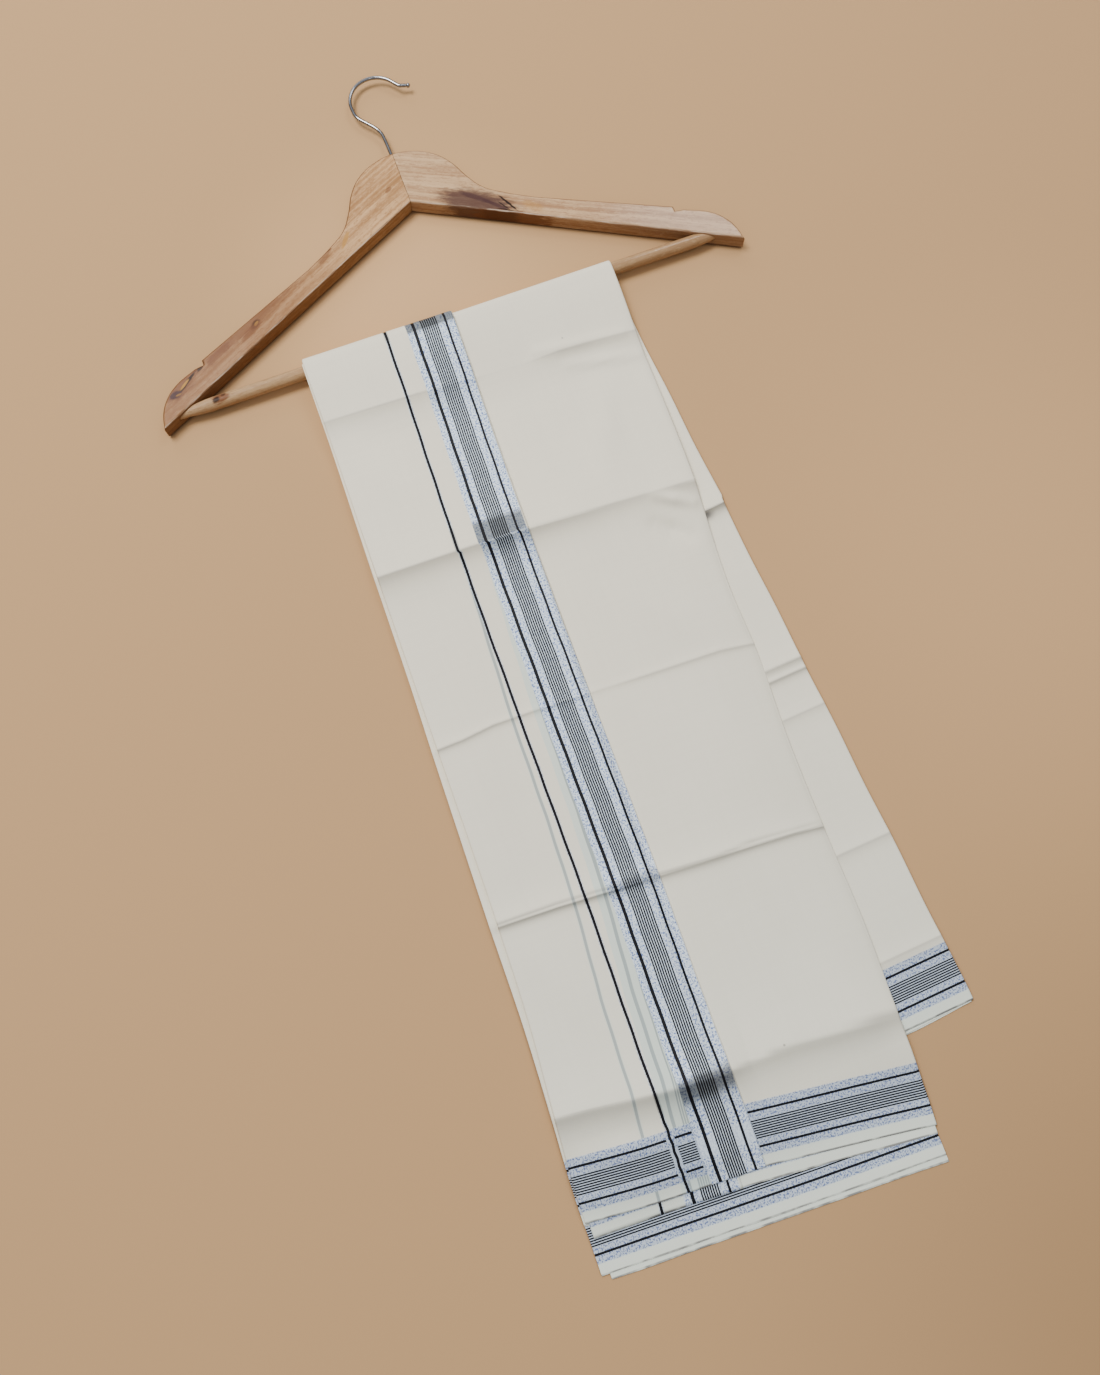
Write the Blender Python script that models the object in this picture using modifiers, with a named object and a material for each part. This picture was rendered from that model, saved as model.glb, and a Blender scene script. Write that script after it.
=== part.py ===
"""A dhoti folded over the bar of a wooden hanger, laid flat.

Metres, +Z up. X runs along the hanger's bar, +Y from the bar to the hook, and the cloth drops
towards -Y. Z = 0 is the surface that everything lies on. The origin is under the middle of the
whole part. "Drop" is a distance from the bar's axis towards -Y, and "across" is one along X.
"""
import math
from collections import namedtuple

import bmesh
import bpy
import numpy as np
from mathutils import Matrix, Vector

# ---------------------------------------------------------------- driving sizes
HALF_SPAN = 0.2250            # hanger, middle to tip
WOOD_THICKNESS = 0.0126
WOOD_ROUNDING = 0.0016        # radius of the wood's rounded edges
HEAD_TOP = 0.1490             # bar axis to the top of the hanger's head
MITRE_FOOT = 0.1047           # bar axis to the inner corner between the arms
BAR_RADIUS = 0.0048
BAR_HEIGHT = 0.0074           # bar axis above the surface
BAR_SKEW = 0.0088             # the bar isn't quite square to the hanger: +Y per metre along X
BAR_LEVEL_AT = -0.1550        # where the skewed bar's axis crosses y = 0
BAR_TAPER_FROM = 0.1900       # where the bar starts to narrow towards its tenon
BAR_TENON_FROM = 0.2060
BAR_TENON_RADIUS = 0.0033
BAR_END = 0.2130
WIRE_RADIUS = 0.0014
HOOK_CENTRE = (0.0040, 0.2030)
HOOK_RADIUS = 0.0203
SEAM = 0.0003                 # gap between neighbouring pieces
WALL = 0.0010                 # thickness of one leaf of cloth
HIDDEN_FRONT = 0.0015         # thickness of the front's hidden leaves together
HIDDEN_BACK = 0.0010
EDGE_LEAF = 0.0005            # one hidden leaf, where the hidden ones step at the hem
OVER_BACK = 0.0032            # underside of the front where it lies on the back drop
BACK_RIDGE = 0.0006           # tallest crease of the back drop
LANDING = 0.0750              # drop over which the front comes down from the bar
BACK_TURN = math.radians(3.7) # the back drop swings this far out from the front
BACK_LEFT = -0.1165
BACK_RIGHT = 0.1213
BACK_LENGTH = 0.5797          # bar axis to the back hem, along the back drop
LONGEST_DROP = 0.6556         # bar axis to the lowest hem of the front
HOOK_REACH = HOOK_CENTRE[1] + HOOK_RADIUS + WIRE_RADIUS
BAR_Y = (LONGEST_DROP - HOOK_REACH) / 2    # puts the origin under the part's middle

# Heights of the undersides of the front's leaves above what the stack lies on.
THIRD_LEVEL = HIDDEN_FRONT + SEAM
SECOND_LEVEL = THIRD_LEVEL + WALL + SEAM
TOP_LEVEL = SECOND_LEVEL + WALL + SEAM
LEAF_STEP = WALL + SEAM

# The front panel, a row for each crease or bend of its edges, from the bar to the hem. A crease runs
# from left_drop at the left edge to right_drop at the right edge. first_cut and second_cut are the
# cloth's two cut ends, and hidden_left is the left fold of the hidden leaves.
Front = namedtuple("Front", "left_drop right_drop left right first_cut second_cut hidden_left")
FRONT = (
    Front(0.000, 0.000, -0.1160, 0.1230, 0.0025, -0.0030, -0.1170),
    Front(0.040, 0.042, -0.1160, 0.1226, 0.0020, -0.0035, -0.1172),
    Front(0.168, 0.181, -0.1165, 0.1208, 0.0000, -0.0060, -0.1188),
    Front(0.200, 0.212, -0.1165, 0.1165, -0.0008, -0.0070, -0.1190),
    Front(0.250, 0.260, -0.1165, 0.1132, -0.0018, -0.0085, -0.1195),
    Front(0.297, 0.305, -0.1165, 0.1155, -0.0026, -0.0100, -0.1205),
    Front(0.360, 0.374, -0.1165, 0.1110, -0.0030, -0.0120, -0.1215),
    Front(0.418, 0.435, -0.1170, 0.1102, -0.0032, -0.0140, -0.1223),
    Front(0.490, 0.506, -0.1190, 0.1105, -0.0036, -0.0180, -0.1228),
    Front(0.543, 0.570, -0.1230, 0.1075, -0.0042, -0.0210, -0.1248),
    Front(0.590, 0.612, -0.1258, 0.1058, -0.0052, -0.0245, -0.1272),
    Front(0.620, 0.640, -0.1265, 0.1036, -0.0060, -0.0262, -0.1275),
)
SHARED_ROWS_END = 0.602       # below this each leaf follows its own hem
ROW_STEP = 0.022              # widest spacing of the rows of points

# Creases across the front: drop at the left edge, half width, height of the ridge.
Crease = namedtuple("Crease", "drop half_width height")
FRONT_CREASES = (
    Crease(0.040, 0.008, 0.0003),
    Crease(0.168, 0.008, 0.0010),
    Crease(0.297, 0.006, 0.0005),
    Crease(0.418, 0.006, 0.0008),
    Crease(0.543, 0.013, 0.0012),
)
VALLEY_SHARE = 0.4            # depth of the dip above each ridge, against its height
BACK_CREASES = (
    Crease(0.208, 0.007, 0.0006),
    Crease(0.329, 0.007, 0.0005),
    Crease(0.366, 0.005, 0.0003),
    Crease(0.461, 0.006, 0.0004),
    Crease(0.536, 0.005, 0.0003),
)

# Hem lines of the front's leaves.
Hem = namedtuple("Hem", "across drop")
TOP_HEM = (Hem(-0.127, 0.6103), Hem(-0.006, 0.6183))
SECOND_HEM = (Hem(-0.127, 0.6208), Hem(-0.080, 0.6220), Hem(-0.026, 0.6255))
THIRD_HEM = (Hem(-0.127, 0.6080), Hem(-0.006, 0.6183), Hem(0.063, 0.6272), Hem(0.104, 0.6328))
UPPER_STEP = (Hem(-0.127, 0.6120), Hem(-0.026, 0.6250), Hem(0.006, 0.6279), Hem(0.104, 0.6380))
MIDDLE_STEP = (Hem(-0.1273, 0.6426), Hem(0.020, 0.6490), Hem(0.103, 0.6516))
LOWER_STEP = (Hem(-0.1219, 0.6467), Hem(0.010, 0.6518), Hem(0.102, LONGEST_DROP))

# Shares of the panel's width where every leaf of the front has a column of points.
COLUMNS = (0.05, 0.11, 0.18, 0.26, 0.34, 0.42, 0.50, 0.58, 0.66, 0.74, 0.82, 0.90, 0.96)


# ---------------------------------------------------------------- small helpers
def smooth(t):
    t = min(max(t, 0.0), 1.0)
    return t * t * (3 - 2 * t)


def bump(t):
    """A soft hill of height 1 over -1..1."""
    return math.cos(t * math.pi / 2) ** 2 if abs(t) < 1 else 0.0


def read(table, key, column, at):
    """A column of a table at a place between its rows."""
    return float(np.interp(at, [getattr(r, key) for r in table], [getattr(r, column) for r in table]))


def front_at(left_drop):
    return Front(*(read(FRONT, "left_drop", name, left_drop) for name in Front._fields))


def hem_at(hem, across):
    return read(hem, "across", "drop", across)


def crease_rows(creases, start, end, step):
    """Drops for the rows of points: close at each crease, and at most step apart elsewhere."""
    marks = {start, end}
    for crease in creases:
        for t in (-2.2, -1.6, -1.0, -0.5, 0.0, 0.5, 1.0):
            marks.add(round(crease.drop + t * crease.half_width, 5))
    marks = sorted(m for m in marks if start <= m <= end)
    rows = [marks[0]]
    for mark in marks[1:]:
        pieces = max(1, math.ceil((mark - rows[-1]) / step))
        first = rows[-1]
        rows += [first + (mark - first) * k / pieces for k in range(1, pieces + 1)]
    return rows


def relief(creases, drop, valley):
    height = 0.0
    for crease in creases:
        t = (drop - crease.drop) / crease.half_width
        height += crease.height * (bump(t) - valley * bump(t + 1.4))
    return height


# ---------------------------------------------------------------- materials and objects
def make_material(name, colour, roughness, metallic=0.0):
    material = bpy.data.materials.new(name)
    material.use_nodes = True
    shader = material.node_tree.nodes["Principled BSDF"]
    shader.inputs["Base Color"].default_value = (*colour, 1.0)
    shader.inputs["Roughness"].default_value = roughness
    shader.inputs["Metallic"].default_value = metallic
    return material


def add_object(name, mesh, material, collection):
    item = bpy.data.objects.new(name, mesh)
    item.data.materials.clear()
    item.data.materials.append(material)
    item.location = (0.0, BAR_Y, 0.0)
    collection.objects.link(item)
    return item


def lattice(columns, rows, place):
    """A grid of faces whose corner (i, j) is moved to place(i, j); it faces up."""
    bm = bmesh.new()
    bmesh.ops.create_grid(bm, x_segments=columns - 1, y_segments=rows - 1, size=1.0)
    spot = {}
    for v in bm.verts:
        i = round((v.co.x + 1) / 2 * (columns - 1))
        j = round((v.co.y + 1) / 2 * (rows - 1))
        spot[v.index] = (i, j)
        v.co = place(i, j)
    return bm, spot


def sheet(name, columns, rows, underside, material, collection):
    """One leaf of cloth: its underside, and Solidify for its wall."""
    bm, _ = lattice(columns, rows, underside)
    mesh = bpy.data.meshes.new(name)
    bm.to_mesh(mesh)
    bm.free()
    item = add_object(name, mesh, material, collection)
    wall = item.modifiers.new("wall", "SOLIDIFY")
    wall.thickness = WALL
    wall.offset = 1.0
    wall.use_even_offset = True
    return item


def slab(name, columns, rows, top, bottom, material, collection):
    """A closed solid between two surfaces that share one grid."""
    bm, spot = lattice(columns, rows, top)
    bm.verts.ensure_lookup_table()
    upper = [v for v in bm.verts]
    lower = [bm.verts.new(bottom(*spot[v.index])) for v in upper]
    bm.verts.index_update()
    edges = [e for e in bm.edges if e.is_boundary]
    pair = {u: w for u, w in zip(upper, lower)}
    for face in list(bm.faces):
        bm.faces.new([pair[v] for v in reversed(face.verts)])
    for edge in edges:
        a, b = edge.verts
        bm.faces.new((a, b, pair[b], pair[a]))
    bmesh.ops.recalc_face_normals(bm, faces=bm.faces[:])
    mesh = bpy.data.meshes.new(name)
    bm.to_mesh(mesh)
    bm.free()
    return add_object(name, mesh, material, collection)


# ---------------------------------------------------------------- the bar's line
def bar_line(across):
    """Y of the bar's axis."""
    return BAR_SKEW * (across - BAR_LEVEL_AT)


def hung(across, drop):
    """Y of a point of the cloth: its top edge follows the bar, and the rest hangs square."""
    return bar_line(across) * (1 - smooth(drop / 0.060)) - drop


# ---------------------------------------------------------------- what the front lies on
def support(across, drop):
    """Height of what carries the front: the bar, then the back drop, then the surface."""
    slant = math.tan(BACK_TURN)
    back_left = BACK_LEFT / math.cos(BACK_TURN) + drop * slant
    back_hem = BACK_LENGTH / math.cos(BACK_TURN) - across * slant
    beside = smooth((across - back_left + 0.060) / 0.057)
    beyond = smooth((drop - back_hem - 0.004) / 0.036)
    bar_top = BAR_HEIGHT + BAR_RADIUS + SEAM
    landed = smooth(drop / LANDING)
    return bar_top * (1 - landed) + OVER_BACK * beside * (1 - beyond) * landed


# A row of points across the front: at left_drop on the panel, or short of a leaf's own hem.
Row = namedtuple("Row", "left_drop hem short level inset", defaults=(None, 0.0, 0.0, 0.0))


def shared_rows():
    rows = crease_rows(FRONT_CREASES, SEAM, 0.590, ROW_STEP) + [0.596, SHARED_ROWS_END]
    return [Row(drop) for drop in reversed(rows)]


def drop_on(row, across):
    if row.hem:
        return hem_at(row.hem, across) - row.short
    section = front_at(row.left_drop)
    share = (across - section.left) / (section.right - section.left)
    return section.left_drop + share * (section.right_drop - section.left_drop)


def base_height(row, across):
    """The support's height, straight between the shared columns, so that all leaves nest."""
    section = front_at(row.left_drop)
    places = [section.left + share * (section.right - section.left) for share in (0.0, *COLUMNS, 1.0)]
    return float(np.interp(across, places, [support(x, drop_on(row, x)) for x in places]))


def share_column(share):
    return lambda section: section.left + share * (section.right - section.left)


def edge_column(edge, shift):
    return lambda section: getattr(section, edge) + shift


def fold_columns(edge, side, depth):
    """Columns round a folded edge: straight down by depth, then a quarter turn onto the top."""
    turn = 0.0008
    quarter = math.sin(math.pi / 4)
    steps = ((0.0, depth), (0.0, turn), (turn * (1 - quarter), turn * (1 - quarter)), (turn, 0.0))
    return [(edge_column(edge, side * (WALL + inward)), sink) for inward, sink in steps]


def front_leaf(name, columns, hem_rows, level, material, collection):
    """A leaf of the front: columns are (place, sink) pairs, sink being how far it hangs down there."""
    rows = hem_rows + shared_rows()

    def underside(i, j):
        place, sink = columns[i]
        row = rows[j]
        across = place(front_at(row.left_drop))
        height = base_height(row, across) + level - sink
        height += relief(FRONT_CREASES, row.left_drop, VALLEY_SHARE)
        return Vector((across, hung(across, drop_on(row, across)), height))

    return sheet(name, len(columns), len(rows), underside, material, collection)


def front_top_leaf(material, collection):
    left = fold_columns("left", 1, TOP_LEVEL - THIRD_LEVEL)
    shared = [(share_column(share), 0.0) for share in COLUMNS if share <= 0.42]
    fall = 0.0045             # the leaf comes down this far past the second leaf's cut end
    over = [(edge_column("second_cut", 0.0005 + fall * t), LEAF_STEP * smooth(t)) for t in (0, 1 / 3, 2 / 3, 1)]
    end = [(edge_column("first_cut", 0.0), LEAF_STEP)]
    hem = [Row(0.612, TOP_HEM)]
    return front_leaf("front_top_leaf", left + shared + over + end, hem, TOP_LEVEL, material, collection)


def front_second_leaf(material, collection):
    columns = [(edge_column("left", 0.0022), 0.0)]
    columns += [(share_column(share), 0.0) for share in COLUMNS if share <= 0.42]
    columns += [(edge_column("second_cut", 0.0), 0.0)]
    hem = [Row(0.618, SECOND_HEM), Row(0.610, SECOND_HEM, 0.008)]
    return front_leaf("front_second_leaf", columns, hem, SECOND_LEVEL, material, collection)


def front_third_leaf(material, collection):
    columns = [(edge_column("left", 0.0022), 0.0)]
    columns += [(share_column(share), 0.0) for share in COLUMNS]
    columns += list(reversed(fold_columns("right", -1, THIRD_LEVEL)))
    hem = [Row(0.612, THIRD_HEM)]
    return front_leaf("front_third_leaf", columns, hem, THIRD_LEVEL, material, collection)


def front_hidden_leaves(material, collection):
    """The leaves under the third one: one solid, rounded at the left fold, stepped at the hem."""
    inside = WALL + 2 * SEAM   # clear of the third leaf's fold
    rounding = 0.0020
    left = [(edge_column("hidden_left", e), math.sqrt(1 - (1 - e / rounding) ** 2))
            for e in (0.0, 0.0004, 0.0010, rounding)]
    shared = [(share_column(share), 1.0) for share in COLUMNS]
    right = [(edge_column("right", -inside - 0.0008), 1.0), (edge_column("right", -inside), 0.6)]
    columns = left + shared + right
    ledge = 0.00015
    rows = [
        Row(0.620, LOWER_STEP, 0.0, EDGE_LEAF, 0.0055),
        Row(0.620, MIDDLE_STEP, -ledge, EDGE_LEAF, 0.0055),
        Row(0.620, MIDDLE_STEP, 0.0, 2 * EDGE_LEAF, 0.0),
        Row(0.615, UPPER_STEP, -ledge, 2 * EDGE_LEAF, 0.0),
        Row(0.615, UPPER_STEP, 0.0, HIDDEN_FRONT, 0.0),
    ]
    rows += [row._replace(level=HIDDEN_FRONT) for row in shared_rows()]

    def place(i, j):
        row = rows[j]
        across = columns[i][0](front_at(row.left_drop))
        if i < len(left):
            across += row.inset
        return row, across

    def bottom(i, j):
        row, across = place(i, j)
        return Vector((across, hung(across, drop_on(row, across)), base_height(row, across)))

    def top(i, j):
        row, across = place(i, j)
        fullness = 0.35 + 0.65 * columns[i][1]
        lift = row.level * fullness + relief(FRONT_CREASES, row.left_drop, VALLEY_SHARE) * fullness
        return bottom(i, j) + Vector((0.0, 0.0, lift))

    return slab("front_hidden_leaves", len(columns), len(rows), top, bottom, material, collection)


# ---------------------------------------------------------------- the fold over the bar
def bar_fold(material, collection):
    """All leaves round the bar's far side, from under it to its top."""
    section = front_at(0.0)
    thick = TOP_LEVEL + WALL
    cut = section.first_cut
    columns = [  # across, thickness at the top of the bar, fullness
        (section.left, thick, 0.6), (section.left + 0.0006, thick, 0.85), (section.left + 0.0020, thick, 1.0),
        (-0.090, thick, 1.0), (-0.050, thick, 1.0), (section.second_cut + 0.0005, thick, 1.0),
        (section.second_cut + 0.0027, thick - LEAF_STEP / 2, 1.0), (cut, thick - LEAF_STEP, 1.0),
        (cut + 0.0003, THIRD_LEVEL + WALL, 1.0), (0.040, THIRD_LEVEL + WALL, 1.0),
        (0.080, THIRD_LEVEL + WALL, 1.0), (section.right - 0.0020, THIRD_LEVEL + WALL, 1.0),
        (section.right - 0.0006, THIRD_LEVEL + WALL, 0.85), (section.right, THIRD_LEVEL + WALL, 0.6),
    ]
    turns = 12
    inner = BAR_RADIUS + SEAM
    under = BAR_HEIGHT - inner   # thickness of the back drop's leaves under the bar
    drawn_tight = 0.0014          # how much thinner the leaves are where they are pulled round the bar

    def point(i, j, outer):
        across, top_thickness, fullness = columns[i]
        share = j / turns
        angle = math.radians(-90 + 180 * share)
        radius = inner
        if outer:
            thickness = under + (top_thickness - under) * smooth(share)
            radius += (thickness - min(bar_line(across), drawn_tight) * math.sin(math.pi * share)) * fullness
        return Vector((across, bar_line(across) + radius * math.cos(angle),
                       BAR_HEIGHT + radius * math.sin(angle)))

    return slab("bar_fold", len(columns), turns + 1, lambda i, j: point(i, j, True),
                lambda i, j: point(i, j, False), material, collection)


# ---------------------------------------------------------------- the back drop
def back_point(a, b, height):
    """a across and b down the back drop; its top edge stays along the bar."""
    drop = b
    b += a * math.tan(BACK_TURN) * (1 - smooth(drop / 0.120))
    x = a * math.cos(BACK_TURN) + b * math.sin(BACK_TURN)
    y = a * math.sin(BACK_TURN) - b * math.cos(BACK_TURN)
    return Vector((x, y + drop + hung(x, drop), height))


def back_top_leaf(material, collection):
    level = HIDDEN_BACK + SEAM
    span = BACK_RIGHT - BACK_LEFT
    columns = [(BACK_LEFT + span * share, 0.0) for share in (0, 0.12, 0.25, 0.4, 0.55, 0.7, 0.82, 0.9, 0.95)]
    edge = Front(*(BACK_RIGHT for _ in Front._fields))
    columns += [(place(edge), sink) for place, sink in reversed(fold_columns("right", -1, level))]
    rows = list(reversed(crease_rows(BACK_CREASES, SEAM, BACK_LENGTH, 0.030)))

    def underside(i, j):
        a, sink = columns[i]
        ridge = relief(BACK_CREASES, rows[j], 0.0)
        return back_point(a, rows[j], level - sink + ridge * (1 - sink / level))

    return sheet("back_top_leaf", len(columns), len(rows), underside, material, collection)


def back_hidden_leaves(material, collection):
    """The back drop's other leaves: one flat solid, stepped past the top leaf's hem."""
    inside = WALL + 2 * SEAM
    places = [BACK_LEFT, -0.040, 0.040, 0.080, BACK_RIGHT - inside]
    peek = {0: 0.0032, 1: 0.0032, 2: 0.0030, 3: 0.0026, 4: 0.0012}   # past the top leaf's hem
    steps = [(1.0, EDGE_LEAF), (0.55, EDGE_LEAF), (0.50, HIDDEN_BACK)]
    rows = [0.560, 0.420, 0.280, 0.140, 0.060, 0.020, SEAM]

    def place(i, j):
        if j < len(steps):
            return BACK_LENGTH + peek[i] * steps[j][0], steps[j][1]
        return rows[j - len(steps)], HIDDEN_BACK

    def top(i, j):
        b, height = place(i, j)
        return back_point(places[i], b, height)

    def bottom(i, j):
        return back_point(places[i], place(i, j)[0], 0.0)

    return slab("back_hidden_leaves", len(places), len(steps) + len(rows), top, bottom, material, collection)


# ---------------------------------------------------------------- the hanger
def turned(name, profile, steps, collection):
    """A solid turned about the bar's axis from (along, radius) points, left end first."""
    bm = bmesh.new()
    previous = None
    for along, radius in reversed(profile):
        v = bm.verts.new((radius, 0.0, along))
        if previous:
            bm.edges.new((previous, v))
        previous = v
    mesh = bpy.data.meshes.new(name)
    bm.to_mesh(mesh)
    bm.free()
    item = bpy.data.objects.new(name, mesh)
    collection.objects.link(item)
    screw = item.modifiers.new("turn", "SCREW")
    screw.steps = steps
    screw.render_steps = steps
    screw.use_merge_vertices = True
    screw.merge_threshold = 0.00001
    item.rotation_euler = (0.0, math.radians(90), math.atan(BAR_SKEW))
    item.location = (0.0, BAR_Y + bar_line(0.0), BAR_HEIGHT)
    return item


def bar_profile(grow):
    """The bar from end to end, grown by a clearance for the sockets that take it."""
    half = [
        (0.0, BAR_RADIUS), (BAR_TAPER_FROM, BAR_RADIUS),
        (BAR_TENON_FROM, BAR_TENON_RADIUS), (BAR_END - 0.0008, BAR_TENON_RADIUS),
        (BAR_END, BAR_TENON_RADIUS - 0.0008), (BAR_END, 0.0),
    ]
    right = [(along + (grow if along > BAR_TENON_FROM else 0), radius + (grow if radius else 0))
             for along, radius in half[1:]]
    left = [(-along, radius) for along, radius in reversed(right)]
    return left + right


def hanger_bar(material, collection):
    item = turned("hanger_bar", bar_profile(0.0), 20, collection)
    item.data.materials.append(material)
    return item


# Right half of the hanger's outline, from the top of the head round to the inner corner. A soft
# point is on a curve, a hard one is a corner. The first and last lie past the mitre.
Outline = namedtuple("Outline", "across up soft")
WOOD_OUTLINE = (
    Outline(-0.0120, HEAD_TOP - 0.0016, False),
    Outline(0.0000, HEAD_TOP, True),
    Outline(0.0150, 0.1464, True),
    Outline(0.0300, 0.1385, True),
    Outline(0.0402, 0.1265, True),
    Outline(0.0472, 0.1120, True),
    Outline(0.0555, 0.0990, True),
    Outline(0.0680, 0.0895, True),
    Outline(0.0900, 0.0767, False),
    Outline(0.1845, 0.0332, False),
    Outline(0.1846, 0.0292, False),
    Outline(0.1912, 0.0282, False),
    Outline(0.2080, 0.0203, True),
    Outline(0.2172, 0.0118, True),
    Outline(0.2229, 0.0010, True),
    Outline(HALF_SPAN, -0.0104, False),
    Outline(0.0000, MITRE_FOOT, False),
    Outline(-0.0120, MITRE_FOOT + 0.0063, False),
)


def wood_blank(collection, side):
    """One half, side 1 for the right and -1 for the left, still running past the mitre."""
    curve = bpy.data.curves.new("wood_blank", "CURVE")
    curve.dimensions = "2D"
    curve.fill_mode = "BOTH"
    curve.extrude = WOOD_THICKNESS / 2 - WOOD_ROUNDING
    curve.bevel_depth = WOOD_ROUNDING
    curve.bevel_resolution = 1
    curve.offset = -WOOD_ROUNDING
    curve.resolution_u = 3
    spline = curve.splines.new("BEZIER")
    spline.bezier_points.add(len(WOOD_OUTLINE) - 1)
    spline.use_cyclic_u = True
    for knot, corner in zip(spline.bezier_points, WOOD_OUTLINE):
        knot.co = (corner.across, corner.up, 0.0)
        kind = "AUTO" if corner.soft else "VECTOR"
        knot.handle_left_type = kind
        knot.handle_right_type = kind
    guide = bpy.data.objects.new("wood_blank", curve)
    collection.objects.link(guide)
    bpy.context.view_layer.update()
    mesh = bpy.data.meshes.new_from_object(guide.evaluated_get(bpy.context.evaluated_depsgraph_get()))
    bpy.data.objects.remove(guide)
    bm = bmesh.new()
    bm.from_mesh(mesh)
    bmesh.ops.remove_doubles(bm, verts=bm.verts[:], dist=0.00001)
    bmesh.ops.transform(bm, matrix=Matrix.Diagonal((side, 1, 1, 1)), verts=bm.verts[:])
    bmesh.ops.recalc_face_normals(bm, faces=bm.faces[:])
    bm.to_mesh(mesh)
    bm.free()
    return mesh


def cut_by(item, cutters):
    for cutter in cutters:
        cutter.hide_render = True
        cutter.display_type = "WIRE"
        cut = item.modifiers.new("cut", "BOOLEAN")
        cut.operation = "DIFFERENCE"
        cut.object = cutter


def hook_bore(collection):
    bpy.ops.mesh.primitive_cylinder_add(
        vertices=16, radius=WIRE_RADIUS + SEAM, depth=0.060, rotation=(math.radians(90), 0.0, 0.0),
        location=(0.0, BAR_Y + HEAD_TOP - 0.024 + 0.030, WOOD_THICKNESS / 2))
    bore = bpy.context.object
    bore.name = "hook_bore"
    for holder in list(bore.users_collection):
        holder.objects.unlink(bore)
    collection.objects.link(bore)
    return bore


def hanger_wood(name, side, material, collection, tools):
    """One half, cut for the bar and the hook, and parted from the other at the mitre."""
    blank = bpy.data.objects.new(name + "_blank", wood_blank(tools, side))
    tools.objects.link(blank)
    blank.location = (0.0, BAR_Y, WOOD_THICKNESS / 2)
    cut_by(blank, (turned(name + "_socket", bar_profile(SEAM), 20, tools), hook_bore(tools)))
    bpy.context.view_layer.update()
    solid = bpy.data.meshes.new_from_object(blank.evaluated_get(bpy.context.evaluated_depsgraph_get()))
    bpy.data.objects.remove(blank)
    bm = bmesh.new()
    bm.from_mesh(solid)
    bmesh.ops.translate(bm, verts=bm.verts[:], vec=(0.0, 0.0, WOOD_THICKNESS / 2))
    parted = bmesh.ops.bisect_plane(bm, geom=bm.verts[:] + bm.edges[:] + bm.faces[:],
                                    plane_co=(side * SEAM / 2, 0.0, 0.0), plane_no=(side, 0.0, 0.0),
                                    clear_inner=True)
    rim = [e for e in parted["geom_cut"] if isinstance(e, bmesh.types.BMEdge)]
    bmesh.ops.holes_fill(bm, edges=rim, sides=0)
    bmesh.ops.triangulate(bm, faces=bm.faces[:])
    bmesh.ops.remove_doubles(bm, verts=bm.verts[:], dist=0.000002)
    bmesh.ops.recalc_face_normals(bm, faces=bm.faces[:])
    mesh = bpy.data.meshes.new(name)
    bm.to_mesh(mesh)
    bm.free()
    return add_object(name, mesh, material, collection)


def arc(centre, radius, start, end, pieces):
    """Points along an arc, angles in degrees."""
    angles = [math.radians(start + (end - start) * k / pieces) for k in range(pieces + 1)]
    return [(centre[0] + radius * math.cos(a), centre[1] + radius * math.sin(a)) for a in angles]


# The wire before and after the round of the hook, from inside the head to the ball at its end.
HOOK_STEM = ((0.0, 0.1265), (-0.0002, 0.1500), (-0.0008, 0.1688), (-0.0019, 0.1745), (-0.0045, 0.1796),
             (-0.0085, 0.1847), (-0.0125, 0.1896), (-0.0146, 0.1928), (-0.0158, 0.1962))
HOOK_TAIL = ((0.0226, 0.2121), (0.0247, 0.2096), (0.0272, 0.2086), (0.0296, 0.2078))


def hanger_hook(material, collection):
    route = list(HOOK_STEM) + arc(HOOK_CENTRE, HOOK_RADIUS, 187.0, 38.0, 20) + list(HOOK_TAIL)
    radii = [1.0] * len(route)
    last = Vector(route[-1])
    ahead = (last - Vector(route[-2])).normalized()
    ball = WIRE_RADIUS * 1.25
    for k in range(7):        # a neck, and a small ball on the end of the wire
        along = ball * (-0.85 + 1.75 * k / 6)
        route.append(tuple(last + ahead * (along + ball * 1.15)))
        radii.append(math.sqrt(max(ball ** 2 - along ** 2, (0.3 * ball) ** 2)) / WIRE_RADIUS)
    curve = bpy.data.curves.new("hanger_hook", "CURVE")
    curve.dimensions = "3D"
    curve.bevel_depth = WIRE_RADIUS
    curve.bevel_resolution = 2
    curve.use_fill_caps = True
    spline = curve.splines.new("POLY")
    spline.points.add(len(route) - 1)
    for point, (x, y), radius in zip(spline.points, route, radii):
        point.co = (x, y, 0.0, 1.0)
        point.radius = radius
    item = bpy.data.objects.new("hanger_hook", curve)
    item.data.materials.append(material)
    item.location = (0.0, BAR_Y, WOOD_THICKNESS / 2)
    collection.objects.link(item)
    return item


def main():
    for item in list(bpy.data.objects):
        bpy.data.objects.remove(item)
    part = bpy.data.collections.new("dhoti on a hanger")
    tools = bpy.data.collections.new("cutters")
    for holder in (part, tools):
        bpy.context.scene.collection.children.link(holder)
    cotton = make_material("unbleached cotton", (0.66, 0.63, 0.57), 0.85)
    wood = make_material("varnished wood", (0.62, 0.40, 0.24), 0.35)
    chrome = make_material("chromed wire", (0.75, 0.76, 0.78), 0.15, 1.0)
    for leaf in (front_top_leaf, front_second_leaf, front_third_leaf, front_hidden_leaves,
                 bar_fold, back_top_leaf, back_hidden_leaves):
        leaf(cotton, part)
    hanger_wood("hanger_wood_left", -1, wood, part, tools)
    hanger_wood("hanger_wood_right", 1, wood, part, tools)
    hanger_bar(wood, part)
    hanger_hook(chrome, part)


main()
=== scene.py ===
# A dhoti folded over the bar of a wooden hanger, laid flat: its cloth, wood and chrome.
# Metres. "Down" is a distance from the bar towards the hems, "across" is one along the bar.
import math

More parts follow.
